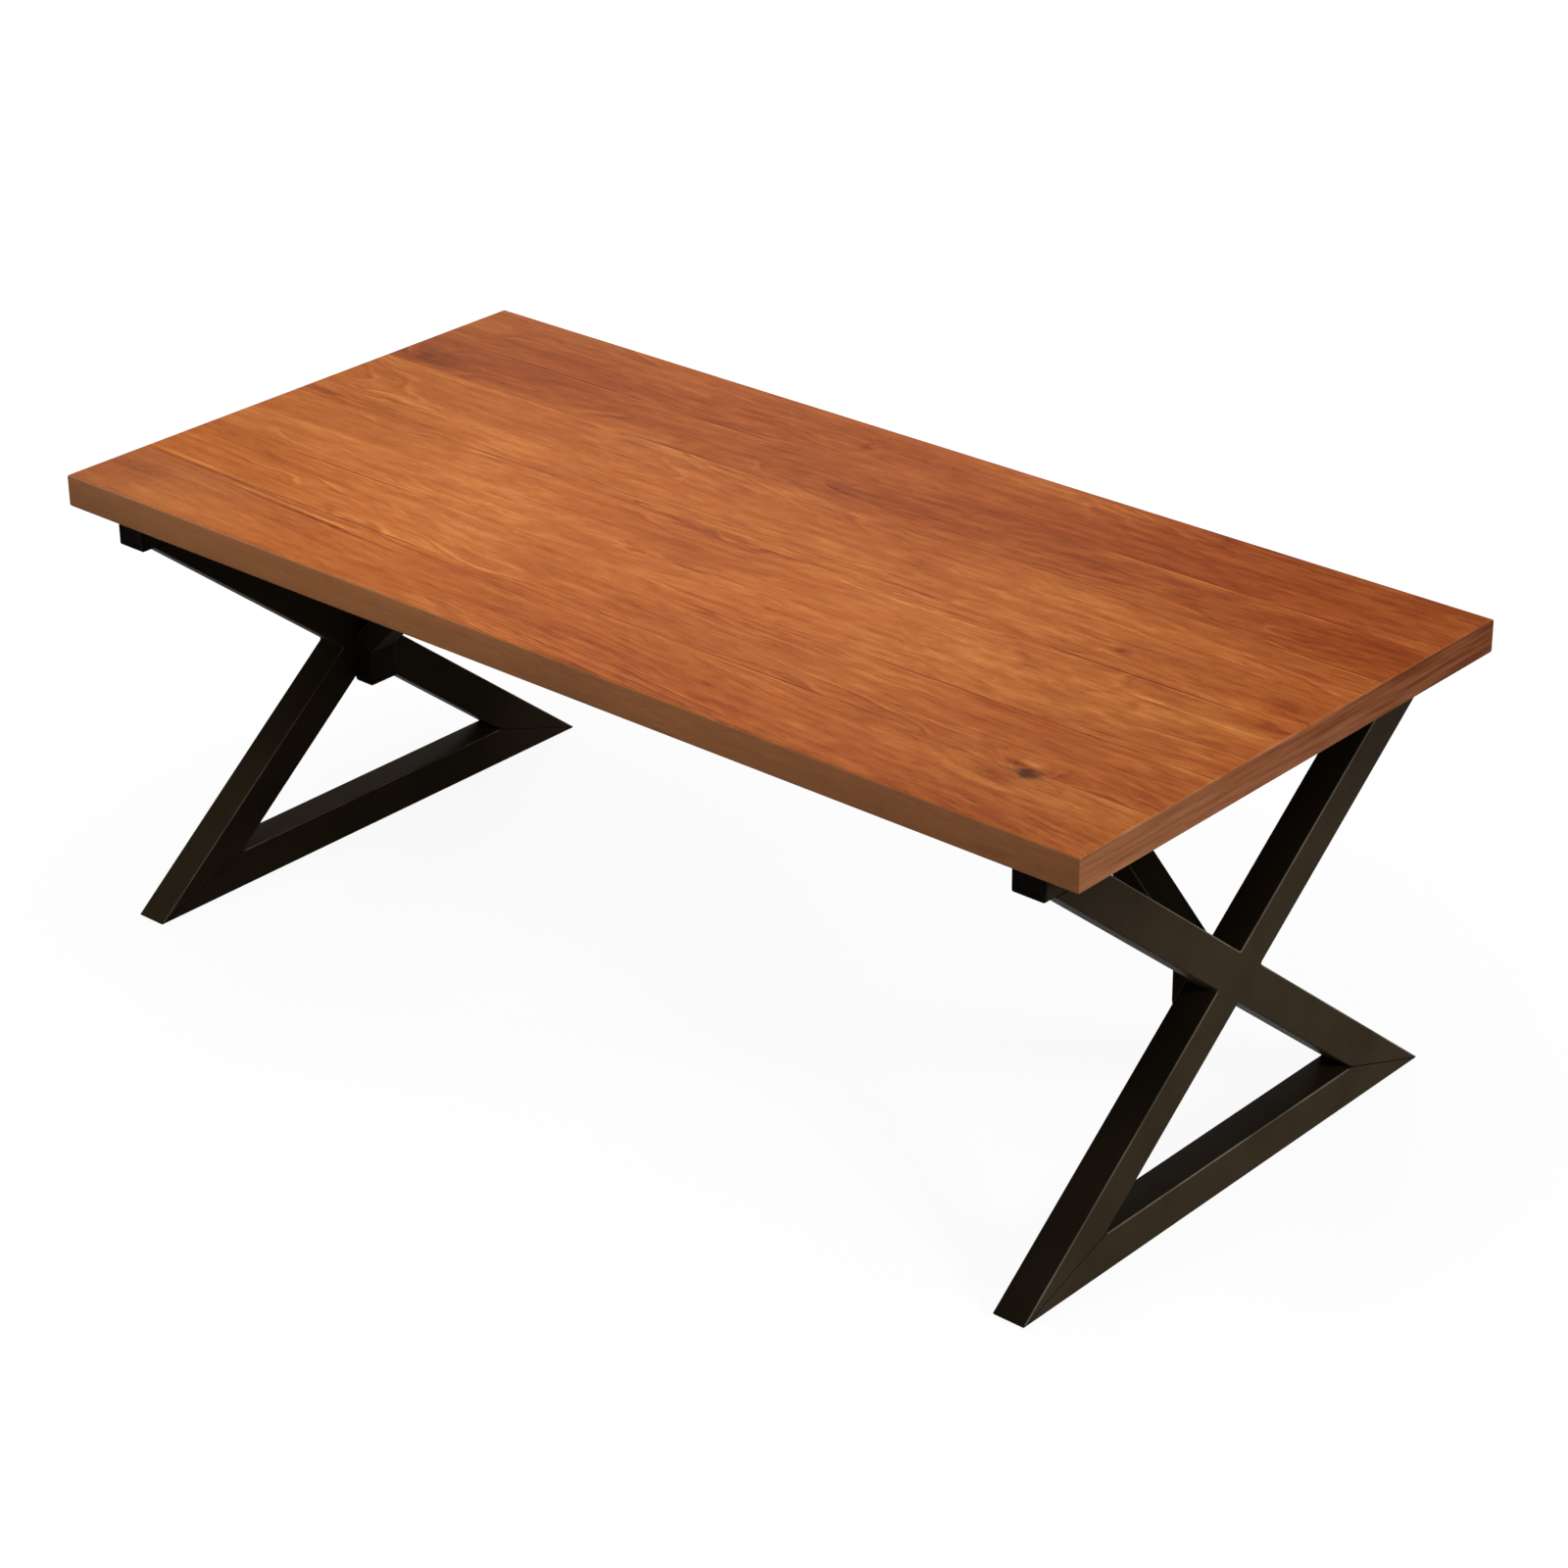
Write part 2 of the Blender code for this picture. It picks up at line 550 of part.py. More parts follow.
def top_holes(plate_x):
    """Blind holes in the underside of the top, for the inserts and the plate screws."""
    low = UNDER_TOP - OVERSHOOT
    holes = []
    for outward in (-1, 1):
        for y in bolt_rows():
            depth = max(BOLT_REACH, INSERT_LENGTH) + HOLE_SPARE
            holes.append((outward * FRAME_X, y, insert_radius() + FIT_GAP, low, UNDER_TOP + depth))
        for x, y in screw_spots():
            radius = SCREW_DIAMETER / 2 + FIT_GAP
            x += outward * (FRAME_X + plate_x)
            holes.append((x, y, radius, low, UNDER_TOP + SCREW_REACH + HOLE_SPARE))
    return holes


def main():
    global parts, cutters
    clear_scene()
    parts = new_collection("dining_table")
    cutters = new_collection("cutters")
    plate_x = brace_pieces()[1]
    add_top(hole_cutter("top_hole_cutter", top_holes(plate_x)))
    add_frames(plate_x)
    add_fasteners(plate_x)


main()
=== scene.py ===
import json
import math

import bpy
import numpy as np
from mathutils import Matrix, Vector


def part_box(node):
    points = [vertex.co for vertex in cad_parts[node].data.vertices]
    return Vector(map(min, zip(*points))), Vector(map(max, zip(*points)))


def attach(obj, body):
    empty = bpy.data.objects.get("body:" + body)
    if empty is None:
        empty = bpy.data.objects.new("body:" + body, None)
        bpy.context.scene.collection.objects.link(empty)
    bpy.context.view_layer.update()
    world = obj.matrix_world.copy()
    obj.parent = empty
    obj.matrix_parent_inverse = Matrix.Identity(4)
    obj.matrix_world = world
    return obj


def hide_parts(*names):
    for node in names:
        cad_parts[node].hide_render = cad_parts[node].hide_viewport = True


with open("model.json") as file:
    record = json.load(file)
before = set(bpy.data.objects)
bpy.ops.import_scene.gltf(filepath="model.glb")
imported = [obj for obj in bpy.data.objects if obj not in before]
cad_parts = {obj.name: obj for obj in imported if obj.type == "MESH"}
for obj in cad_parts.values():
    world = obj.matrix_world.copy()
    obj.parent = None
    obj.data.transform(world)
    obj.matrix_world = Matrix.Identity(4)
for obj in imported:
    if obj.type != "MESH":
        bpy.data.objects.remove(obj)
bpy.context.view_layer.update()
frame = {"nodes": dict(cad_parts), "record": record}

print("frame loaded:", len(frame["nodes"]), "solids")


# Camera: eye and aim in metres, lens and sensor in millimetres, roll in degrees.
view = {"eye": (3.8557, -4.2645, 3.2445), "aim": (0.0680, -0.0053, 0.380),
        "lens": 95.63, "sensor": 36.0, "roll": -0.64}


def addCamera():
    data = bpy.data.cameras.new("camera")
    data.lens, data.sensor_width = view["lens"], view["sensor"]
    camera = bpy.data.objects.new("camera", data)
    bpy.context.scene.collection.objects.link(camera)
    eye = Vector(view["eye"])
    turn = (Vector(view["aim"]) - eye).to_track_quat("-Z", "Y").to_matrix()
    turn = turn @ Matrix.Rotation(math.radians(view["roll"]), 3, "Z")
    camera.matrix_world = Matrix.Translation(eye) @ turn.to_4x4()
    bpy.context.scene.camera = camera


# Node helpers: a value is either a number for the socket or another node's output to link to it.
def addNode(tree, kind, inputs=None, **settings):
    node = tree.nodes.new(kind)
    for key, value in settings.items():
        setattr(node, key, value)
    for key, value in (inputs or {}).items():
        if isinstance(value, bpy.types.NodeSocket):
            tree.links.new(value, node.inputs[key])
        else:
            node.inputs[key].default_value = value
    return node


def calc(tree, operation, first, second=0.0, clamp=False):
    node = addNode(tree, "ShaderNodeMath", {0: first, 1: second}, operation=operation, use_clamp=clamp)
    return node.outputs[0]


def combine(tree, operation, first, second=(0, 0, 0)):
    return addNode(tree, "ShaderNodeVectorMath", {0: first, 1: second}, operation=operation).outputs[0]


def noise(tree, vector, scale=1.0, detail=3.0, roughness=0.55):
    inputs = {"Vector": vector, "Scale": scale, "Detail": detail, "Roughness": roughness}
    return addNode(tree, "ShaderNodeTexNoise", inputs).outputs[0]


def stretched(tree, vector, scale, move=(0, 0, 0), turn=(0, 0, 0)):
    inputs = {"Vector": vector, "Scale": scale, "Location": move, "Rotation": turn}
    return addNode(tree, "ShaderNodeMapping", inputs).outputs[0]


def remap(tree, value, low, high, toLow, toHigh, smooth=False):
    inputs = {"Value": value, "From Min": low, "From Max": high, "To Min": toLow, "To Max": toHigh}
    kind = "SMOOTHSTEP" if smooth else "LINEAR"
    return addNode(tree, "ShaderNodeMapRange", inputs, interpolation_type=kind).outputs[0]


def blendValue(tree, factor, first, second):
    return addNode(tree, "ShaderNodeMix", {0: factor, 2: first, 3: second}).outputs[0]


def ramp(tree, value, stops):
    node = addNode(tree, "ShaderNodeValToRGB", {"Fac": value})
    band = node.color_ramp
    while len(band.elements) < len(stops):
        band.elements.new(0.5)
    for element, (place, colour) in zip(band.elements, stops):
        element.position, element.color = place, (*colour, 1.0)
    return node.outputs[0]


def blendColour(tree, factor, first, second, how="MIX"):
    node = addNode(tree, "ShaderNodeMix", data_type="RGBA", blend_type=how)
    colours = [socket for socket in node.inputs if socket.type == "RGBA"]
    for socket, value in ((node.inputs[0], factor), (colours[0], first), (colours[1], second)):
        if isinstance(value, bpy.types.NodeSocket):
            tree.links.new(value, socket)
        else:
            socket.default_value = (*value, 1.0) if isinstance(value, tuple) else value
    return next(socket for socket in node.outputs if socket.type == "RGBA")


def newFinish(name, roughness, metallic=0.0, specular=0.5):
    material = bpy.data.materials.new(name)
    material.use_nodes = True
    tree = material.node_tree
    shader = tree.nodes["Principled BSDF"]
    shader.inputs["Roughness"].default_value = roughness
    shader.inputs["Metallic"].default_value = metallic
    shader.inputs["Specular IOR Level"].default_value = specular
    place = addNode(tree, "ShaderNodeTexCoord").outputs["Object"]
    return material, tree, shader, place


def addBump(tree, shader, height, distance, strength=1.0):
    inputs = {"Height": height, "Distance": distance, "Strength": strength}
    bump = addNode(tree, "ShaderNodeBump", inputs)
    tree.links.new(bump.outputs[0], shader.inputs["Normal"])


# Outline with rounded corners. A corner P between edges with outward normals n1 and n2 gets an arc about
# P - v, where v.n1 = v.n2 = rho, and rho is the radius, negative in a hollow corner. Moving the edges in by
# d1 and d2 moves the arc to P - v(max(rho, d1), max(rho, d2)) + max(rho - d, 0) n.
def mitreStep(n1, n2, d1, d2):
    c = (n1 * n2).sum(1)
    sine = 1 - c ** 2
    straight = sine < 1e-9
    safe = np.where(straight, 1.0, sine)
    a, b = (d1 - c * d2) / safe, (d2 - c * d1) / safe
    a, b = np.where(straight, d1, a), np.where(straight, 0.0, b)
    return a[:, None] * n1 + b[:, None] * n2


def roundOutline(corners, radii=0.0, insets=1.0, steps=6):
    p = np.asarray(corners, float)
    run = np.roll(p, -1, 0) - p
    run /= np.linalg.norm(run, axis=1)[:, None]
    after = np.stack([run[:, 1], -run[:, 0]], 1)
    before = np.roll(after, 1, 0)
    turn = np.arctan2(before[:, 0] * after[:, 1] - before[:, 1] * after[:, 0], (before * after).sum(1))
    insets = np.broadcast_to(np.asarray(insets, float), len(p))
    radii = np.broadcast_to(np.asarray(radii, float), len(p))
    counts = np.where(radii > 0, steps + 1, 1)
    which = np.repeat(np.arange(len(p)), counts)
    share = np.concatenate([np.linspace(0, 1, k) if k > 1 else np.array([0.5]) for k in counts])
    angle = turn[which] * share
    n1, n2 = before[which], after[which]
    normal = np.stack([n1[:, 0] * np.cos(angle) - n1[:, 1] * np.sin(angle),
                       n1[:, 0] * np.sin(angle) + n1[:, 1] * np.cos(angle)], 1)
    rho = np.where(turn < 0, -radii, radii)[which]
    return {"p": p[which], "n1": n1, "n2": n2, "normal": normal, "rho": rho, "share": share,
            "e1": np.roll(insets, 1)[which], "e2": insets[which]}


def movedIn(o, k):
    d1, d2 = k * o["e1"], k * o["e2"]
    d = d1 * (1 - o["share"]) + d2 * o["share"]
    hollow = o["rho"] < 0
    far1 = np.where(hollow, o["rho"], np.maximum(o["rho"], d1))
    far2 = np.where(hollow, o["rho"], np.maximum(o["rho"], d2))
    left = np.where(hollow, o["rho"] - d, np.maximum(o["rho"] - d, 0.0))
    return o["p"] - mitreStep(o["n1"], o["n2"], far1, far2) + left[:, None] * o["normal"]


# Closed skin over a grid of points: quads between rings j and j + 1, and a face over the first ring and one
# over the last.
def gridMesh(name, points, edge=None):
    count, n = points.shape[:2]
    i, j = np.meshgrid(np.arange(n), np.arange(count - 1))
    after = (i + 1) % n
    quads = np.stack([j * n + i, (j + 1) * n + i, (j + 1) * n + after, j * n + after], -1).reshape(-1, 4)
    faces = quads.tolist() + [list(range(n)), list(range(count * n - 1, (count - 1) * n - 1, -1))]
    mesh = bpy.data.meshes.new(name)
    mesh.from_pydata(points.reshape(-1, 3).tolist(), [], faces)
    if edge is not None:
        mesh.attributes.new("edge", "FLOAT", "POINT").data.foreach_set("value", edge.ravel())
    return mesh


# Outline with seams, which are edges with a small inset: the other edges get extra points close to a seam.
def seamedOutline(corners, radii, insets, reach=0.008):
    p, r, e = [], [], []
    for i, corner in enumerate(corners):
        after = (i + 1) % len(corners)
        start, end = Vector(corner), Vector(corners[after])
        step = (end - start).normalized() * reach
        ends = [start + step] if insets[i - 1] < insets[i] else []
        ends += [end - step] if insets[after] < insets[i] else []
        p += [corner] + [tuple(point) for point in ends]
        r += [radii[i]] + [0.0] * len(ends)
        e += [insets[i]] * (1 + len(ends))
    return roundOutline(p, r, e)


# Profile carried round an outline: ring j is the outline moved in by k times each edge's inset, at a level.
# The attribute edge is 1 halfway round an eased edge that faces up, less where it faces down, -1 at a seam;
# the paint puts a painted highlight where it is positive, strongest on edges that face up.
def skinMesh(name, outline, rows, axes):
    axes = np.asarray(axes, float)
    flat = np.stack([movedIn(outline, k) for k, level in rows])
    level = np.repeat(np.array([level for k, level in rows])[:, None], flat.shape[1], 1)
    points = np.concatenate([flat, level[..., None]], 2) @ axes
    k = np.array([k for k, level in rows])
    halfway = np.where(k <= 1.0, 1.0 - np.abs(2 * np.minimum(k, 1.0) - 1.0), 0.0)
    # more painted highlight on edges that face up
    upwardHighlight = np.clip(0.25 + 0.75 * (outline["normal"] @ axes[:2])[:, 2], 0.0, 1.0)
    seam = np.minimum(outline["e1"], outline["e2"]) < outline["e2"].max()
    return gridMesh(name, points, halfway[:, None] * np.where(seam, -1.0, upwardHighlight)[None])


# Quarter-round edge: rows of (share of the edge's inset, depth below the face), from the face to the wall.
# The first row lies on the flat, a little further in, and keeps the flat's shading flat.
def quarterRound(depth, steps=5):
    a = np.linspace(0, math.pi / 2, steps + 1)
    rows = np.stack([1 - np.sin(a), depth * (1 - np.cos(a))], 1)
    return np.vstack([[1.2, 0.0], rows])


# Bar or plate between two levels, with the same eased edge on both faces.
def barMesh(name, outline, low, high, axes, edgeRows):
    upper = [(k, high - depth) for k, depth in edgeRows]
    lower = [(k, low + depth) for k, depth in edgeRows[::-1]]
    return skinMesh(name, outline, upper + lower, axes)


def halfTurned(mesh):  # (x, y, z) -> (-x, -y, z)
    place = np.empty(len(mesh.vertices) * 3)
    mesh.vertices.foreach_get("co", place)
    place = place.reshape(-1, 3) * (-1, -1, 1)
    mesh.vertices.foreach_set("co", place.ravel())
    return mesh


sharpAngle = math.radians(50)  # edges that turn more than this stay sharp


def addPiece(name, mesh, material, slotName, *solids):
    mesh.name = name
    mesh.shade_smooth()
    mesh.set_sharp_from_angle(angle=sharpAngle)
    mesh.materials.append(material)
    piece = bpy.data.objects.new(name, mesh)
    bpy.context.scene.collection.objects.link(piece)
    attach(piece, "root")
    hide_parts(*solids)
    return piece


# Axes of a skin: two for the outline and one for the levels.
alongYZ = ((0, 1, 0), (0, 0, 1), (1, 0, 0))
alongXY = ((1, 0, 0), (0, 1, 0), (0, 0, 1))
alongXZ = ((1, 0, 0), (0, 0, 1), (0, -1, 0))  # levels towards the front


def rectangle(x0, y0, x1, y1):
    return [(x0, y0), (x1, y0), (x1, y1), (x0, y1)]


# Plank top. Each board: tone (0 dark, 1 pale), redness, strength of the ring lines, how dull its left end is,
# a shift of the pattern, heart of the tree (y, depth under the face, both m), how that leans and skews along
# the board (rad), where the lines gather (y, half width), and soft patches (x, y, half length, half width,
# change of tone). Knots (x, y, size, darkness) and streaks (as patches, and their slope dy/dx) may lie across
# a joint. Towards +X, per metre, the tone changes by paleEnd, the redness by redEnd and the fine contrast by
# livelyEnd.
plankTop = {
    "edgeRound": 0.004, "ringWidth": 0.008,
    "paleEnd": -0.010, "redEnd": 0.28, "livelyEnd": 0.20,
    "boards": [
        {"tone": 0.535, "red": 0.25, "lines": 0.18, "dull": 0.34, "shift": 1.3,
         "heart": (-0.560, 0.20), "lean": 0.012, "skew": 0.07, "gather": (-0.345, 0.022),
         "patches": [(0.764, -0.370, 0.036, 0.014, -0.32), (0.846, -0.400, 0.030, 0.004, -0.26),
                     (-0.940, -0.393, 0.050, 0.013, -0.20), (-0.960, -0.420, 0.120, 0.090, -0.23),
                     (0.930, -0.420, 0.120, 0.070, -0.14), (0.070, -0.485, 0.100, 0.012, -0.22)]},
        {"tone": 0.55, "red": 0.36, "lines": 0.16, "dull": 0.0, "shift": 4.1,
         "heart": (-0.380, 0.26), "lean": -0.012, "skew": 0.05, "gather": (-0.322, 0.014),
         "patches": [(0.789, -0.312, 0.020, 0.007, 0.42), (0.768, -0.322, 0.013, 0.006, -0.34)]},
        {"tone": 0.57, "red": 0.38, "lines": 0.16, "dull": 0.06, "shift": 7.7,
         "heart": (-0.070, 0.25), "lean": 0.020, "skew": -0.02, "gather": (-0.008, 0.010),
         "patches": [(-0.450, -0.100, 0.250, 0.090, 0.12), (0.500, -0.100, 0.180, 0.090, 0.12)]},
        {"tone": 0.555, "red": 0.42, "lines": 0.14, "dull": 0.0, "shift": 11.2,
         "heart": (0.110, 0.20), "lean": -0.032, "skew": 0.03, "gather": (0.010, 0.010),
         "patches": [(0.945, 0.050, 0.045, 0.018, -0.28), (0.640, 0.062, 0.020, 0.007, 0.18),
                     (-0.450, 0.110, 0.250, 0.090, 0.10), (0.500, 0.100, 0.150, 0.080, 0.13)]},
        {"tone": 0.43, "red": 0.56, "lines": 0.14, "dull": 0.08, "shift": 14.9,
         "heart": (0.250, 0.34), "lean": 0.026, "skew": -0.04, "gather": (0.240, 0.020),
         "patches": [(-0.920, 0.236, 0.055, 0.024, -0.18)]},
        {"tone": 0.46, "red": 0.50, "lines": 0.14, "dull": 0.06, "shift": 18.6,
         "heart": (0.420, 0.24), "lean": -0.022, "skew": 0.02, "gather": (0.400, 0.015), "patches": []},
    ],
    "knots": [(0.800, -0.337, 0.018, 0.94), (0.657, 0.054, 0.010, 0.26), (-0.940, 0.240, 0.013, 0.28)],
    "streaks": [
        (-0.880, -0.3175, 0.110, 0.0030, 0.20, -0.020), (-0.790, -0.3315, 0.190, 0.0032, -0.42, -0.038),
        (-0.680, -0.3435, 0.120, 0.0030, 0.16, -0.030), (-0.560, -0.3570, 0.190, 0.0038, -0.42, -0.055),
        (-0.560, -0.3490, 0.080, 0.0030, 0.20, 0.0), (-0.530, -0.3370, 0.050, 0.0026, -0.20, 0.0),
        (0.550, -0.0020, 0.380, 0.0028, -0.10, 0.005), (0.320, -0.0165, 0.150, 0.0028, 0.24, 0.012),
        (0.610, -0.0100, 0.050, 0.0030, 0.34, 0.0), (0.790, -0.0490, 0.042, 0.0030, 0.34, 0.0),
        (0.920, -0.0500, 0.050, 0.0026, 0.22, 0.0), (0.800, -0.0560, 0.055, 0.0030, -0.18, 0.0),
        (0.750, -0.1925, 0.170, 0.0028, -0.24, 0.0), (0.930, -0.1870, 0.060, 0.0028, 0.28, 0.0),
        (0.600, 0.0660, 0.045, 0.0040, -0.18, -0.040), (0.659, 0.0530, 0.013, 0.0075, -0.42, 0.0),
        (0.640, 0.0400, 0.016, 0.0050, 0.16, 0.0),
    ],
}


# Wood, the same for all boards. A layer is noise drawn out along the grain: scale along and across it per
# metre, detail, and its strength in the tone or how far it is shifted. A band is where noise begins to show
# and where it shows fully.
wood = {
    "sway": ((1.6, 5.0), 3.0, 0.05), "shiver": ((7.0, 16.0), 2.0, 0.012),  # slow and quick bends, size in m
    "broad": [((2.0, 5.0), 2.0, 0.46), ((0.7, 13.0), 2.0, 0.40), ((2.4, 46.0), 2.0, 0.30)],
    "fine": [((8.0, 130.0), 3.0, 0.42), ((18.0, 84.0), 3.0, 0.48), ((8.0, 40.0), 2.0, 0.22)],
    "broadShift": 0.0, "fineShift": 9.3, "layerShift": 3.1,
    "dash": ((26.0, 260.0), 2.0, 8.0), "dashBand": (0.60, 0.74), "dashDepth": 0.20,
    "lineShow": ((2.2, 9.0), 2.0, 6.0), "lineBand": (0.45, 0.66), "lineSharp": 5.0, "lineLag": 0.9,
    "gatherLift": 0.14,
    "redShow": ((1.5, 4.0), 3.0, 9.0), "redBand": (0.34, 0.66), "redLeast": 0.1,
    "vein": ((0.7, 24.0), 3.0, 2.0), "veinWidth": (0.002, 0.016),
    "veinShow": ((1.3, 9.0), 2.0, 6.0), "veinBand": (0.50, 0.66), "veinDepth": 0.5,
    "fibre": ((9.0, 520.0), 3.0, 0.0), "roughness": (0.34, 0.46), "specular": 0.006, "bump": 0.00010,
    "wobble": (70.0, 1.4),  # unevenness of knots, patches and streaks: scale and size
    "knot": {"long": 1.3, "spread": 0.22, "push": 12.0, "core": (-0.1, 1.5), "halo": 0.28},
    # glue line: dark, with a painted highlight in front of it
    "glue": {"width": (0.0006, 0.0022), "dark": -0.40, "jointHighlightOff": 0.004, "jointHighlightWidth": (0.001, 0.0035),
             "jointHighlight": 0.16, "scale": 2.2, "shift": 31.0, "band": (0.45, 0.60)},
    "tones": [(0.0, (0.150, 0.028, 0.006)), (0.35, (0.320, 0.076, 0.015)),
              (0.60, (0.450, 0.131, 0.028)), (1.0, (0.700, 0.270, 0.070))],
    "redTint": (0.86, 0.62, 0.54), "dullColour": (0.34, 0.135, 0.060), "dullFrom": (-0.45, -0.95),
    "veinColour": (0.15, 0.034, 0.009), "knotColour": (0.055, 0.018, 0.008),
    # paler side faces: partly the side grain's own colour, partly painted light on the front and end faces
    "sideTintAndLight": (0.50, 0.254, 0.121), "sideTintAndLightShare": 0.5,
    "endTones": [(0.0, (0.370, 0.150, 0.070)), (0.30, (0.285, 0.111, 0.050)),
                 (0.75, (0.190, 0.061, 0.024)), (1.0, (0.125, 0.035, 0.013))],
    "endShade": (0.30, 0.92),  # how far along endTones the front and the back corner lie
    "endRise": 0.08, "endStreak": (1.0, 6.0, 150.0), "endContrast": 1.6,
    # painted highlight along the upper edges of the end and the front
    "edgeHighlightColour": (0.60, 0.32, 0.17), "edgeHighlightScale": 9.0, "edgeHighlightBand": (0.42, 0.62), "edgeHighlightShare": (0.05, 0.36),
    "endHighlight": ((-0.30, 1.0), (0.35, 0.25)),  # share of the painted highlight at two places along Y
    "frontHighlight": ((-0.95, 0.36), (0.20, 0.06)),  # the same along X
}


# Bend of the grain: colour noise less one half, times a size, across the grain only.
def grainBend(tree, place, shift, scale, detail, size):
    inputs = {"Vector": stretched(tree, place, (scale[0], scale[1], scale[1]), (shift, 0, 0)),
              "Scale": 1.0, "Detail": detail}
    colour = addNode(tree, "ShaderNodeTexNoise", inputs).outputs["Color"]
    return combine(tree, "MULTIPLY", combine(tree, "SUBTRACT", colour, (0.5, 0.5, 0.5)), (0.0, size, size))


# Grain of one board. Rings: distance from the heart line, bent by noise, over the ring width. A line is where
# the sine of the ring's phase comes near 1, pale on one side of it and dark on the other.
# Everything else is noise drawn out along the bent grain; a vein is where its noise crosses one half.
def woodFinish(name, board, knots, streaks, joints):
    material, tree, shader, place = newFinish(name, wood["roughness"][1], specular=wood["specular"])
    shift = board["shift"]
    low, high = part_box("top_board_1")
    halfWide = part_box("top_board_6")[1].y
    x, y, z = addNode(tree, "ShaderNodeSeparateXYZ", {0: place}).outputs
    normal = addNode(tree, "ShaderNodeTexCoord").outputs["Normal"]
    nx, ny, nz = addNode(tree, "ShaderNodeSeparateXYZ", {0: normal}).outputs
    grain = stretched(tree, place, (1, 1, 1), turn=(0, 0, board["skew"]))
    grain = combine(tree, "ADD", grain, grainBend(tree, place, shift, *wood["sway"]))
    grain = combine(tree, "ADD", grain, grainBend(tree, place, shift, *wood["shiver"]))
    heartY, heartDepth = board["heart"]
    log = stretched(tree, grain, (1, 1, 1), (0, -heartY, heartDepth - high.z), (0, board["lean"], 0))
    across = combine(tree, "MULTIPLY", log, (0.0, 1.0, 1.0))
    radius = addNode(tree, "ShaderNodeVectorMath", {0: across}, operation="LENGTH").outputs["Value"]
    phase = calc(tree, "MULTIPLY", radius, 2 * math.pi / plankTop["ringWidth"])

    # d2 = (u / length)^2 + (v / width)^2, u = x - x0, v = y - y0 - slope u, and a little noise
    def far(middleX, middleY, length, width, slope=0.0):
        u = calc(tree, "SUBTRACT", x, middleX)
        v = calc(tree, "SUBTRACT", calc(tree, "SUBTRACT", y, middleY), calc(tree, "MULTIPLY", u, slope))
        dx, dy = calc(tree, "DIVIDE", u, length), calc(tree, "DIVIDE", v, width)
        d2 = calc(tree, "ADD", calc(tree, "MULTIPLY", dx, dx), calc(tree, "MULTIPLY", dy, dy))
        scale, size = wood["wobble"]
        wobble = calc(tree, "SUBTRACT", noise(tree, place, scale, 2.0), 0.5)
        return calc(tree, "ADD", d2, calc(tree, "MULTIPLY", wobble, size))

    def drawn(scale, detail, move):
        vector = stretched(tree, grain, (scale[0], scale[1], scale[1]), (shift, move, 0))
        return noise(tree, vector, 1.0, detail, 0.58)

    def layered(layers, move):
        total = None
        for number, (scale, detail, strength) in enumerate(layers):
            layer = calc(tree, "SUBTRACT", drawn(scale, detail, move + wood["layerShift"] * number), 0.5)
            layer = calc(tree, "MULTIPLY", layer, strength)
            total = layer if total is None else calc(tree, "ADD", total, layer)
        return total

    def shows(layer, band, least, most):
        return remap(tree, drawn(*layer), *band, least, most, True)

    def line(lag):  # max(sin(phase - lag), 0) ** sharp
        wave = calc(tree, "SINE", calc(tree, "SUBTRACT", phase, lag))
        return calc(tree, "POWER", calc(tree, "MAXIMUM", wave, 0.0), wood["lineSharp"])

    def edgeFacing(out):  # out nz is 0.5 halfway round an upper edge
        return remap(tree, calc(tree, "MULTIPLY", out, nz), 0.1, 0.5, 0.0, 1.0)

    dark = None
    knot = wood["knot"]
    for knotX, knotY, size, depth in knots:  # exp(-spread d2) pushes the rings outwards round a knot
        d2 = far(knotX, knotY, size * knot["long"], size)
        near = calc(tree, "EXPONENT", calc(tree, "MULTIPLY", d2, -knot["spread"]))
        phase = calc(tree, "ADD", phase, calc(tree, "MULTIPLY", near, knot["push"]))
        core = remap(tree, d2, *knot["core"], depth, 0.0, True)
        core = calc(tree, "MAXIMUM", core, calc(tree, "MULTIPLY", near, knot["halo"] * depth))
        dark = core if dark is None else calc(tree, "MAXIMUM", dark, core)

    # tone: the board's own, fine and broad layers, ring lines, patches, streaks and glue lines
    dash = shows(wood["dash"], wood["dashBand"], 0.0, wood["dashDepth"])
    lively = calc(tree, "ADD", calc(tree, "MULTIPLY", x, plankTop["livelyEnd"]), 1.0)
    fine = calc(tree, "SUBTRACT", layered(wood["fine"], wood["fineShift"]), dash)
    tone = calc(tree, "ADD", calc(tree, "MULTIPLY", x, plankTop["paleEnd"]), board["tone"])
    tone = calc(tree, "ADD", tone, calc(tree, "MULTIPLY", fine, lively))
    tone = calc(tree, "ADD", tone, layered(wood["broad"], wood["broadShift"]))
    gatherY, gatherWidth = board["gather"]
    off = calc(tree, "DIVIDE", calc(tree, "SUBTRACT", y, gatherY), gatherWidth)
    gather = calc(tree, "EXPONENT", calc(tree, "MULTIPLY", calc(tree, "MULTIPLY", off, off), -1.0))
    gather = calc(tree, "MULTIPLY", gather, wood["gatherLift"])
    lineShow = calc(tree, "ADD", drawn(*wood["lineShow"]), gather)
    lineShow = remap(tree, lineShow, *wood["lineBand"], 0.0, board["lines"], True)
    relief = calc(tree, "SUBTRACT", line(wood["lineLag"]), line(0.0))
    tone = calc(tree, "ADD", tone, calc(tree, "MULTIPLY", relief, lineShow))
    level = [(*patch, 0.0) for patch in board["patches"]]
    for patchX, patchY, length, width, change, slope in level + streaks:
        d2 = far(patchX, patchY, length, width, slope)
        spread = calc(tree, "EXPONENT", calc(tree, "MULTIPLY", d2, -1.0))
        tone = calc(tree, "ADD", tone, calc(tree, "MULTIPLY", spread, change))
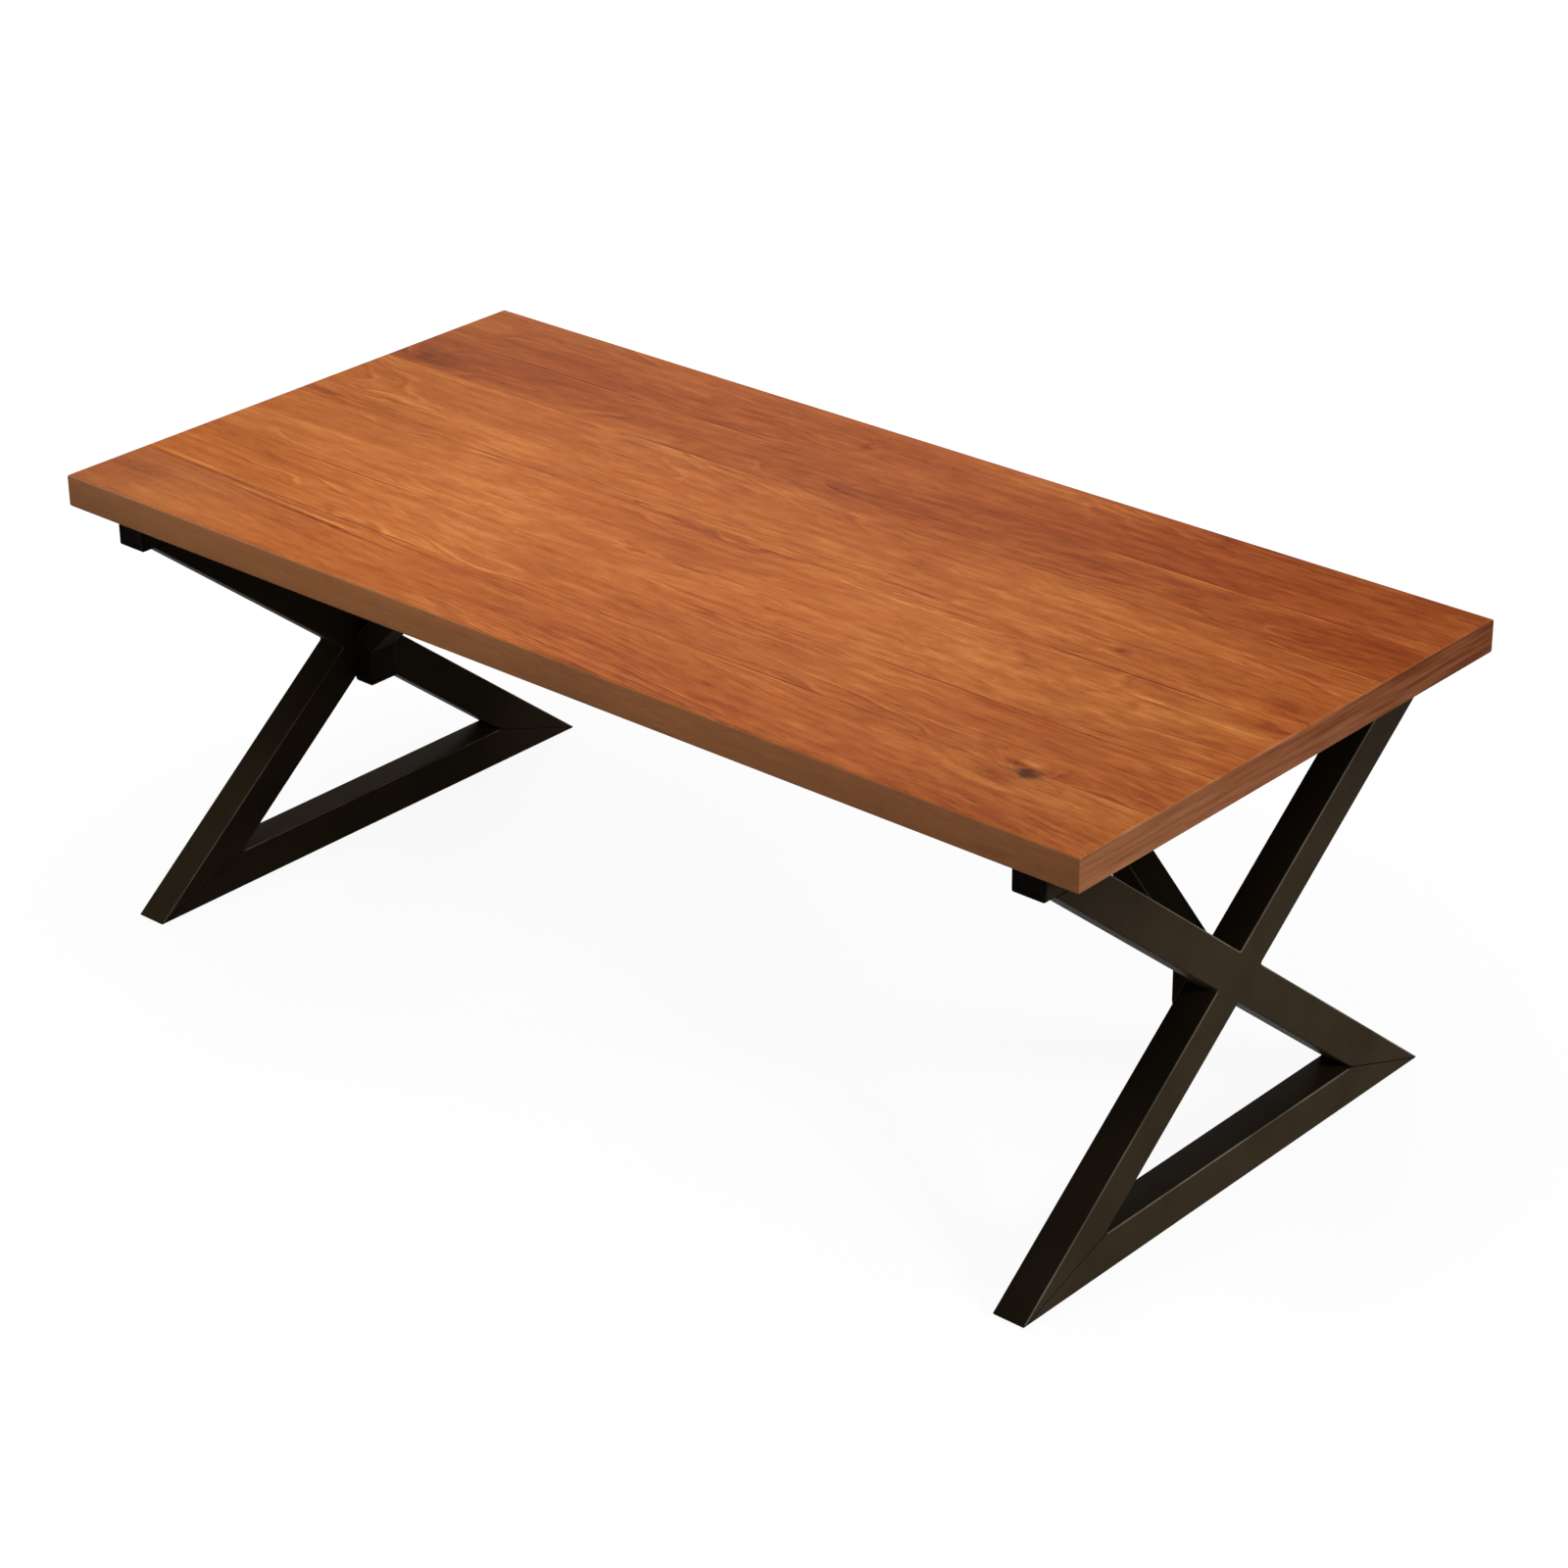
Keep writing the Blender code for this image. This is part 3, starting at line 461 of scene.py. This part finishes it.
    glue = wood["glue"]
    for joint in joints:  # glue line, dark, with a painted highlight in front of it, showing here and there
        off = calc(tree, "SUBTRACT", y, joint)
        jointHighlightOff = calc(tree, "ADD", off, glue["jointHighlightOff"])
        along = stretched(tree, place, (glue["scale"], 0.0, 0.0), (joint * glue["shift"], 0, 0))
        show = remap(tree, noise(tree, along, 1.0, 2.0), *glue["band"], 0.0, 1.0, True)
        dim = remap(tree, calc(tree, "ABSOLUTE", off), *glue["width"], glue["dark"], 0.0)
        jointHighlight = remap(tree, calc(tree, "ABSOLUTE", jointHighlightOff), *glue["jointHighlightWidth"], glue["jointHighlight"], 0.0)
        tone = calc(tree, "ADD", tone, calc(tree, "MULTIPLY", calc(tree, "ADD", dim, jointHighlight), show))

    # colour: tone, redness, dull left end, veins, paler sides (side grain and painted light), knots, end
    # grain and a painted highlight on the upper edges
    colour = ramp(tree, tone, wood["tones"])
    redness = calc(tree, "ADD", calc(tree, "MULTIPLY", x, plankTop["redEnd"]), board["red"], True)
    redder = calc(tree, "MULTIPLY", shows(wood["redShow"], wood["redBand"], wood["redLeast"], 1.0), redness)
    colour = blendColour(tree, redder, colour, wood["redTint"], "MULTIPLY")
    dull = remap(tree, x, *wood["dullFrom"], 0.0, board["dull"], True)
    colour = blendColour(tree, dull, colour, wood["dullColour"])
    off = calc(tree, "ABSOLUTE", calc(tree, "SUBTRACT", drawn(*wood["vein"]), 0.5))
    vein = remap(tree, off, *wood["veinWidth"], 1.0, 0.0, True)
    vein = calc(tree, "MULTIPLY", vein, shows(wood["veinShow"], wood["veinBand"], 0.0, wood["veinDepth"]))
    colour = blendColour(tree, vein, colour, wood["veinColour"])
    # paler side faces, partly painted light
    side = remap(tree, calc(tree, "ABSOLUTE", nz), 0.4, 0.9, 1.0, 0.0)
    colour = blendColour(tree, calc(tree, "MULTIPLY", side, wood["sideTintAndLightShare"]), colour, wood["sideTintAndLight"])
    if dark is not None:
        colour = blendColour(tree, dark, colour, wood["knotColour"])
    streak = noise(tree, stretched(tree, place, wood["endStreak"]), 1.0, 4.0, 0.6)
    streak = calc(tree, "MULTIPLY", calc(tree, "SUBTRACT", streak, 0.5), wood["endContrast"])
    shade = remap(tree, y, -halfWide, halfWide, *wood["endShade"])
    shade = calc(tree, "ADD", shade, remap(tree, z, low.z, high.z, -wood["endRise"], wood["endRise"]))
    shade = calc(tree, "ADD", shade, streak, True)
    end = remap(tree, calc(tree, "ABSOLUTE", nx), 0.6, 0.9, 0.0, 1.0)
    colour = blendColour(tree, end, colour, ramp(tree, shade, wood["endTones"]))
    # painted highlight along the upper edge of the end, less towards the back, and of the front, less to the
    # right
    edgeHighlight = noise(tree, stretched(tree, place, (0.0, wood["edgeHighlightScale"], 0.0)), 1.0, 3.0)
    edgeHighlight = remap(tree, edgeHighlight, *wood["edgeHighlightBand"], *wood["edgeHighlightShare"], True)
    (nearY, nearShare), (farY, farShare) = wood["endHighlight"]
    edgeHighlight = calc(tree, "MULTIPLY", edgeHighlight, remap(tree, y, nearY, farY, nearShare, farShare, True))
    edgeHighlight = calc(tree, "MULTIPLY", edgeFacing(nx), edgeHighlight)
    (leftX, leftShare), (rightX, rightShare) = wood["frontHighlight"]
    front = remap(tree, x, leftX, rightX, leftShare, rightShare)
    front = calc(tree, "MULTIPLY", edgeFacing(calc(tree, "MULTIPLY", ny, -1.0)), front)
    colour = blendColour(tree, calc(tree, "MAXIMUM", edgeHighlight, front), colour, wood["edgeHighlightColour"])
    tree.links.new(colour, shader.inputs["Base Color"])
    fibre = drawn(*wood["fibre"])
    tree.links.new(remap(tree, fibre, 0.3, 0.7, *wood["roughness"]), shader.inputs["Roughness"])
    addBump(tree, shader, calc(tree, "SUBTRACT", fibre, dash), wood["bump"], 0.5)
    return material


def addTop():
    boards = plankTop["boards"]
    boxes = [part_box(f"top_board_{number}") for number in range(1, len(boards) + 1)]
    low, high = boxes[0]
    edges = [box[0].y for box in boxes] + [boxes[-1][1].y]
    rounding = plankTop["edgeRound"]
    for index, board in enumerate(boards):
        name = f"plank_{index + 1}"
        front, back = edges[index], edges[index + 1]
        first, last = index == 0, index == len(boards) - 1
        insets = (rounding if first else 0.0, rounding, rounding if last else 0.0, rounding)
        outline = roundOutline(rectangle(low.x, front, high.x, back), 0.0, insets)
        mesh = barMesh(name, outline, low.z, high.z, alongXY, quarterRound(rounding))
        joints = [edge for edge, outer in ((front, first), (back, last)) if not outer]
        knots = [k for k in plankTop["knots"] if front - 4 * k[2] < k[1] < back + 4 * k[2]]
        streaks = [s for s in plankTop["streaks"] if front - 0.02 < s[1] < back + 0.02]
        finish = woodFinish(f"lacqueredWood{index + 1}", board, knots, streaks, joints)
        addPiece(name, mesh, finish, "wood_top", f"top_board_{index + 1}")
    print("top laid:", len(boards), "boards")


# Leg frames. The leg angle comes from the solids: a diagonal of the bar's width runs from the tip of the
# foot to its upper corner under the rail, so angle = atan(rise / run) + asin(width / length).
legFrames = {"edgeRound": 0.0025, "seam": 0.0012, "weldRound": 0.004, "tipRound": 0.0006}


def legSizes():
    barLow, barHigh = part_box("right_floor_bar")
    legLow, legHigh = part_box("right_through_leg")
    s = {"tip": barHigh.y, "base": barLow.z, "shelf": barHigh.z, "top": legHigh.z}
    s["xLow"], s["xHigh"] = barLow.x, barHigh.x
    width = barHigh.z - barLow.z
    run, rise = s["tip"] - legLow.y, s["top"] - s["base"]
    angle = math.atan2(rise, run) + math.asin(width / math.hypot(run, rise))
    s["rise"], s["reach"] = width / 2 / math.cos(angle), width / 2 / math.sin(angle)
    s["middle"] = s["base"] + s["tip"] * math.tan(angle) - s["rise"]
    s["heel"] = s["tip"] - width / math.tan(angle / 2)  # inner corner of the foot
    s["inner"] = -s["tip"] + rise / math.tan(angle)  # corners under the rail
    s["outer"] = s["inner"] + 2 * s["reach"]
    print("leg frames: angle", round(math.degrees(angle), 2), "crossing at", round(s["middle"], 4))
    return s


def crossedOutline(s):
    tip, base, heel, shelf, top = s["tip"], s["base"], s["heel"], s["shelf"], s["top"]
    middle, rise, reach, inner, outer = s["middle"], s["rise"], s["reach"], s["inner"], s["outer"]
    corners = [(-tip, base), (-heel, shelf), (0, middle - rise), (heel, shelf), (tip, base),
               (reach, middle), (outer, top), (inner, top),
               (0, middle + rise), (-inner, top), (-outer, top), (-reach, middle)]
    weld, point = legFrames["weldRound"], legFrames["tipRound"]
    radii = [point, 0, weld, 0, point, weld, point, 0, weld, 0, point, weld]
    e, seam = legFrames["edgeRound"], legFrames["seam"]
    return seamedOutline(corners, radii, [seam, e, e] * 4)


def floorBarOutline(s):
    tip, base, heel, shelf = s["tip"], s["base"], s["heel"], s["shelf"]
    e, seam, point = legFrames["edgeRound"], legFrames["seam"], legFrames["tipRound"]
    corners = [(-tip, base), (tip, base), (heel, shelf), (-heel, shelf)]
    return seamedOutline(corners, (point, point, 0, 0), (e, seam, e, seam))


# The coat: two tones of it, flecks and a painted highlight on eased edges, then the dark of a seam. Each
# frame and the braces have their own painted shade, one for upright faces and one for faces that look up; on
# the braces it is partly a darker paint. All get painted shade close under the top.
paint = {
    # painted shade: the share of the colour kept on upright faces and on faces that look up
    "right": (1.0, 0.36), "left": (0.68, 1.0), "braces": (0.40, 0.15), "upFrom": (0.35, 0.70),  # nz
    "paintedShadeUnderTop": 0.55, "shadeUnderFrom": (0.35, 0.70),  # share left, between two heights
    "low": (0.031, 0.0215, 0.0117), "high": (0.042, 0.0292, 0.0164), "cloudScale": 9.0,
    "fleck": (0.066, 0.050, 0.032), "fleckScale": 260.0, "fleckShare": 0.35,
    # colours of the painted highlight on eased edges and of the dark in a seam
    "arrisHighlight": (0.290, 0.250, 0.195), "arrisHighlightLeast": 0.35, "seam": (0.004, 0.003, 0.002),
    "roughness": (0.42, 0.56), "specular": 0.008, "peelScale": 900.0, "bump": 0.00008,
}


def paintFinish(name, upright, upward):
    material, tree, shader, place = newFinish(name, paint["roughness"][1], specular=paint["specular"])
    cloud = noise(tree, place, paint["cloudScale"], 4.0)
    fleck = noise(tree, place, paint["fleckScale"], 3.0)
    peel = noise(tree, place, paint["peelScale"], 2.0)
    edge = addNode(tree, "ShaderNodeAttribute", attribute_name="edge").outputs["Fac"]
    normal = addNode(tree, "ShaderNodeTexCoord").outputs["Normal"]
    lookUp = addNode(tree, "ShaderNodeSeparateXYZ", {0: normal}).outputs[2]
    height = addNode(tree, "ShaderNodeSeparateXYZ", {0: place}).outputs[2]
    black = (0.0, 0.0, 0.0)
    colour = blendColour(tree, remap(tree, cloud, 0.35, 0.65, 0.0, 1.0), paint["low"], paint["high"])
    spots = remap(tree, fleck, 0.62, 0.72, 0.0, paint["fleckShare"])
    colour = blendColour(tree, spots, colour, paint["fleck"])
    # painted shade, one share for upright faces and one for faces that look up
    shade = remap(tree, lookUp, *paint["upFrom"], upright, upward, True)
    colour = blendColour(tree, shade, black, colour)
    # painted highlight on eased edges, strongest on those that face up
    most = max(upright, upward)
    edgeHighlight = remap(tree, cloud, 0.40, 0.70, paint["arrisHighlightLeast"] * most, most)
    colour = blendColour(tree, calc(tree, "MULTIPLY", edge, edgeHighlight, True), colour, paint["arrisHighlight"])
    # painted shade close under the top
    paintedShadeUnderTop = remap(tree, height, *paint["shadeUnderFrom"], 1.0, paint["paintedShadeUnderTop"], True)
    colour = blendColour(tree, paintedShadeUnderTop, black, colour)
    seam = calc(tree, "MULTIPLY", edge, -1.0, True)
    colour = blendColour(tree, seam, colour, paint["seam"])
    tree.links.new(colour, shader.inputs["Base Color"])
    tree.links.new(remap(tree, fleck, 0.3, 0.7, *paint["roughness"]), shader.inputs["Roughness"])
    addBump(tree, shader, peel, paint["bump"], 0.5)
    return material


def addTubes(coats):
    s = legSizes()
    e, seam = legFrames["edgeRound"], legFrames["seam"]
    edgeRows = quarterRound(e)
    railLow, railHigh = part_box("right_rail")
    corners = rectangle(railLow.y, railLow.z, railHigh.y, railHigh.z)
    railOutline = seamedOutline(corners, (0, 0, 0, 0), (e, seam, e, seam))
    outlines = {
        "crossed_legs": (crossedOutline(s), ("through_leg", "lower_half_leg", "upper_half_leg")),
        "foot_bar": (floorBarOutline(s), ("floor_bar",)),
        "top_rail": (railOutline, ("rail",)),
    }
    for name, (outline, solids) in outlines.items():
        for side in ("right", "left"):
            mesh = barMesh(name, outline, s["xLow"], s["xHigh"], alongYZ, edgeRows)
            mesh = halfTurned(mesh) if side == "left" else mesh
            names = [f"{side}_{solid}" for solid in solids]
            addPiece(f"{side}_{name}", mesh, coats[side], "frame_paint", *names)


# Braces: an upright shoe mitred to a sloping tube, with a domed end below and a plate under the top.
braces = {"turn": math.radians(45), "edgeRound": 0.0025, "seam": 0.0010, "dome": 0.009, "corner": 0.003,
          "plateCorner": 0.008, "plateRound": 0.0012}


def addBraces(coat, plastic):
    shoeLow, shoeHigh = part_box("right_brace_shoe")
    x0, x1, y0, y1 = shoeLow.x, shoeHigh.x, shoeLow.y, shoeHigh.y
    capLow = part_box("right_shoe_cap")[0].z
    plateLow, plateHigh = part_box("right_brace_plate")
    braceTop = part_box("right_brace")[1].z
    slope = math.tan((math.pi / 2 - braces["turn"]) / 2)
    outerZ, innerZ = shoeHigh.z, shoeHigh.z - (x1 - x0) * slope
    outerX = x1 - (braceTop - outerZ) / math.tan(braces["turn"])
    innerX = x0 - (braceTop - innerZ) / math.tan(braces["turn"])
    e, seam, dome = braces["edgeRound"], braces["seam"], braces["dome"]
    shoeEnd = capLow + dome + 2 * seam
    sides = (seam, e, seam, e)
    square = (0, 0, 0, 0)
    shoe = seamedOutline([(x0, shoeEnd), (x1, shoeEnd), (x1, outerZ), (x0, innerZ)], square, sides)
    arm = seamedOutline([(x0, innerZ), (x1, outerZ), (outerX, braceTop), (innerX, braceTop)], square, sides)
    a = np.linspace(0, math.pi / 2, 8)
    domeRows = np.stack([dome * (1 - np.cos(a)), capLow + dome * (1 - np.sin(a))], 1)
    endRows = [(seam, shoeEnd), (0.0, shoeEnd - seam), *domeRows.tolist()]
    endOutline = roundOutline(rectangle(x0, y0, x1, y1), braces["corner"])
    plateCorners = rectangle(plateLow.x, plateLow.y, plateHigh.x, plateHigh.y)
    plateOutline = roundOutline(plateCorners, braces["plateCorner"], braces["plateRound"])
    edgeRows, plateRows = quarterRound(e), quarterRound(braces["plateRound"])
    for side in ("right", "left"):
        plate = barMesh("plate", plateOutline, plateLow.z, plateHigh.z, alongXY, plateRows)
        made = [
            ("shoe", barMesh("shoe", shoe, y0, y1, alongXZ, edgeRows), coat, "frame_paint", "brace_shoe"),
            ("arm", barMesh("arm", arm, y0, y1, alongXZ, edgeRows), coat, "frame_paint", "brace"),
            ("end", skinMesh("end", endOutline, endRows, alongXY), plastic, "cap_plastic", "shoe_cap"),
            ("plate", plate, coat, "frame_paint", "brace_plate"),
        ]
        for name, mesh, material, slotName, solid in made:
            mesh = halfTurned(mesh) if side == "left" else mesh
            addPiece(f"{side}_{name}_piece", mesh, material, slotName, f"{side}_{solid}")


# Rail caps: a flange with a sunk panel, rounded outer edge and a plug inside the rail. Lengths in metres.
railCap = {"corner": 0.003, "flange": 0.003, "round": 0.0012, "rim": 0.007, "sunk": 0.0008, "panel": 0.003,
           "plug": 0.0029, "plugEase": 0.001}


def addRailCaps(plastic):
    c = railCap
    for side, other in (("right", "left"), ("left", "right")):
        low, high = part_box(f"{side}_rail_cap_front")
        face, plugEnd = -low.y, -high.y
        edgeRows = [(k * c["round"], face - depth) for k, depth in quarterRound(c["round"])]
        floor = face - c["sunk"]
        rows = [(c["rim"] + c["panel"], floor), (c["rim"] + c["sunk"], floor), (c["rim"], face)]
        rows += edgeRows + [(0.0, face - c["flange"]), (c["plug"], face - c["flange"])]
        rows += [(c["plug"], plugEnd + c["plugEase"]), (c["plug"] + c["plugEase"], plugEnd)]
        outline = roundOutline(rectangle(low.x, low.z, high.x, high.z), c["corner"])
        front = skinMesh("cap", outline, rows, alongXZ)
        back = halfTurned(skinMesh("cap", outline, rows, alongXZ))
        addPiece(f"{side}_front_cap", front, plastic, "cap_plastic", f"{side}_rail_cap_front")
        addPiece(f"{other}_back_cap", back, plastic, "cap_plastic", f"{other}_rail_cap_back")


floorPad = {"corner": 0.006, "round": 0.0006}


def addPads(rubber):
    for side in ("right", "left"):
        for end in ("front", "back"):
            low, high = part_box(f"{side}_floor_pad_{end}")
            corners = rectangle(low.x, low.y, high.x, high.y)
            outline = roundOutline(corners, floorPad["corner"], floorPad["round"])
            mesh = barMesh("pad", outline, low.z, high.z, alongXY, quarterRound(floorPad["round"]))
            addPiece(f"{side}_{end}_pad", mesh, rubber, "pad_rubber", f"{side}_floor_pad_{end}")


# Bolts and screws point up, heads below. Lengths in metres, heights from the seat of the head. A socket has
# no arms; those of a cross slot are given by their half width.
railBolt = {"shank": 0.004, "head": 0.008, "rim": 0.0012, "flat": 0.0052, "height": 0.0045,
            "tip": 0.001, "tipShare": 0.75, "recess": 0.0025, "depth": 0.0025, "arms": None,
            "count": 4, "name": "rail_bolt"}
plateScrew = {"shank": 0.0021, "head": 0.0045, "rim": 0.0010, "flat": 0.0031, "height": 0.003,
              "tip": 0.006, "tipShare": 0.1, "recess": 0.0025, "depth": 0.0012, "arms": 0.0006,
              "count": 4, "name": "plate_screw"}


# Turned piece: point (j, i) = radius of row j at angle i. A hexagon socket has r = half / cos(a), a being the
# angle from the nearest flat; a cross slot has r = min(half / cos(a), arms / sin(a)), a from the nearest arm.
def fastenerMesh(c, low, high, sides=48):
    angle = np.arange(sides) / sides * 2 * math.pi
    part = math.pi / 2 if c["arms"] else math.pi / 3
    a = (angle + part / 2) % part - part / 2
    recess = c["recess"] / np.cos(a)
    if c["arms"]:
        recess = np.minimum(recess, c["arms"] / np.maximum(np.abs(np.sin(a)), 1e-3))
    seat = low.z + c["height"]
    bend = np.linspace(0, math.pi / 2, 7)
    crownR = c["flat"] + (c["head"] - c["flat"]) * np.cos(bend)
    crownZ = -c["rim"] - (c["height"] - c["rim"]) * np.sin(bend)
    tip = high.z - seat
    radii = [c["shank"] * c["tipShare"], c["shank"], c["shank"], c["head"], *crownR]
    levels = [tip, tip - c["tip"], 0.0, 0.0, *crownZ]
    radii = np.repeat(np.array(radii)[:, None], sides, 1)
    radii = np.vstack([radii, recess[None], 0.94 * recess[None], 0.15 * recess[None]])
    bottom = -c["height"]
    levels = np.array(levels + [bottom, bottom + 0.8 * c["depth"], bottom + c["depth"]]) + seat
    middle = (low + high) / 2
    points = np.stack([middle.x + radii * np.cos(angle), middle.y + radii * np.sin(angle),
                       np.repeat(levels[:, None], sides, 1)], -1)
    return gridMesh(c["name"], points)


def addFasteners(zinc):
    for c in (railBolt, plateScrew):
        for side in ("right", "left"):
            for number in range(1, c["count"] + 1):
                solid = f"{side}_{c['name']}_{number}"
                mesh = fastenerMesh(c, *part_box(solid))
                addPiece(f"{solid}_turned", mesh, zinc, "zinc_steel", solid)


# Plain finishes: two tones in clouds of a scale, uneven roughness and a fine bump.
plainFinishes = {
    "capPlastic": {"colour": (0.0050, 0.0042, 0.0030), "other": (0.0095, 0.0080, 0.0060), "scale": 120.0,
                   "roughness": 0.6, "specular": 0.012},
    "padRubber": {"colour": (0.016, 0.016, 0.016), "other": (0.028, 0.027, 0.026), "scale": 200.0,
                  "roughness": 0.85, "specular": 0.2},
    "zincPlate": {"colour": (0.55, 0.54, 0.50), "other": (0.42, 0.42, 0.40), "scale": 150.0,
                  "roughness": 0.34, "metallic": 1.0},
    "turnedBrass": {"colour": (0.60, 0.42, 0.16), "other": (0.48, 0.33, 0.12), "scale": 150.0,
                    "roughness": 0.36, "metallic": 1.0},
}


def plainFinish(name, colour, other, scale, roughness, metallic=0.0, specular=0.5, bump=0.00005):
    material, tree, shader, place = newFinish(name, roughness, metallic, specular)
    cloud = noise(tree, place, scale, 4.0)
    fine = noise(tree, place, scale * 12, 2.0)
    mixed = blendColour(tree, remap(tree, cloud, 0.35, 0.65, 0.0, 1.0), colour, other)
    tree.links.new(mixed, shader.inputs["Base Color"])
    uneven = remap(tree, cloud, 0.3, 0.7, roughness - 0.06, roughness + 0.08)
    tree.links.new(uneven, shader.inputs["Roughness"])
    addBump(tree, shader, fine, bump, 0.5)
    return material


def addFrames():
    # the same paint for each frame and for the braces, each with painted shade of its own
    coats = {part: paintFinish(f"{part}PaintAndShade", *paint[part]) for part in ("right", "left", "braces")}
    finishes = {name: plainFinish(name, **values) for name, values in plainFinishes.items()}
    addTubes(coats)
    addBraces(coats["braces"], finishes["capPlastic"])
    addRailCaps(finishes["capPlastic"])
    addPads(finishes["padRubber"])
    addFasteners(finishes["zincPlate"])
    for row in frame["record"]["subparts"]:  # the inserts keep their solids
        if row["material_slot"] == "insert_brass":
            solid = frame["nodes"][row["node"]]
            solid.data.materials.clear()
            solid.data.materials.append(finishes["turnedBrass"])
    print("frames, braces, caps, pads and fasteners added")


# Light: a softbox overhead, one at the back left, one far off at the right, one high in front, and an even
# dome. Floor and dome are white to the camera and in reflections. The floor keeps a share of its shading, and
# the rest glows, a little more further out (glow: distance in metres, strength).
studio = {
    "dome": 0.11, "aim": (0.0, 0.0, 0.6), "floorHalf": 30.0, "floorLevel": -0.0002, "floorColour": 0.38,
    "floorShare": 0.24, "nearGlow": (0.8, 1.22), "farGlow": (3.0, 1.34),
    "key": {"place": (-0.40, -0.05, 2.55), "size": 1.6, "power": 15.2},
    "window": {"place": (-3.7, 4.2, 3.5), "size": 2.4, "power": 92.0},
    "fill": {"place": (7.5, 0.7, 3.4), "size": 1.6, "power": 392.0},
    "front": {"place": (-0.5, -1.7, 3.1), "size": 1.2, "power": 37.5},
}


def softbox(name, place, size, power):
    data = bpy.data.lights.new(name, "AREA")
    data.shape, data.size, data.energy = "SQUARE", size, power
    lamp = bpy.data.objects.new(name, data)
    bpy.context.scene.collection.objects.link(lamp)
    lamp.location = place
    lamp.rotation_euler = (Vector(studio["aim"]) - Vector(place)).to_track_quat("-Z", "Y").to_euler()


def seenDirectly(tree):
    path = addNode(tree, "ShaderNodeLightPath").outputs
    either = calc(tree, "MAXIMUM", path["Is Camera Ray"], path["Is Glossy Ray"])
    return calc(tree, "MAXIMUM", either, path["Is Transmission Ray"])


def addStudio():
    world = bpy.data.worlds.new("studio")
    bpy.context.scene.world = world
    world.use_nodes = True
    tree = world.node_tree
    dome = tree.nodes["Background"]
    dome.inputs["Color"].default_value = (1.0, 1.0, 1.0, 1.0)
    tree.links.new(blendValue(tree, seenDirectly(tree), studio["dome"], 1.0), dome.inputs["Strength"])
    for name in ("key", "window", "fill", "front"):
        softbox(name, **studio[name])

    half, level = studio["floorHalf"], studio["floorLevel"]
    mesh = bpy.data.meshes.new("floor")
    corners = [(x, y, level) for x, y in rectangle(-half, -half, half, half)]
    mesh.from_pydata(corners, [], [(0, 1, 2, 3)])
    floor = bpy.data.objects.new("floor", mesh)
    bpy.context.scene.collection.objects.link(floor)
    material = bpy.data.materials.new("paleFloor")
    material.use_nodes = True
    tree = material.node_tree
    tree.nodes.remove(tree.nodes["Principled BSDF"])
    place = addNode(tree, "ShaderNodeTexCoord").outputs["Object"]
    distance = addNode(tree, "ShaderNodeVectorMath", {0: place}, operation="LENGTH").outputs["Value"]
    (near, nearGlow), (far, farGlow) = studio["nearGlow"], studio["farGlow"]
    glow = remap(tree, distance, near, far, nearGlow, farGlow, True)
    grey = studio["floorColour"]
    matt = addNode(tree, "ShaderNodeBsdfDiffuse", {"Color": (grey, grey, grey, 1.0)})
    white = addNode(tree, "ShaderNodeEmission", {"Color": (1, 1, 1, 1), "Strength": glow})
    share = calc(tree, "MULTIPLY", seenDirectly(tree), 1.0 - studio["floorShare"])
    mixed = addNode(tree, "ShaderNodeMixShader", {0: share, 1: matt.outputs[0], 2: white.outputs[0]})
    tree.links.new(mixed.outputs[0], tree.nodes["Material Output"].inputs["Surface"])
    mesh.materials.append(material)
    bpy.context.scene.view_settings.view_transform = "Standard"
    print("light and floor set")


addCamera()
addStudio()
addTop()
addFrames()
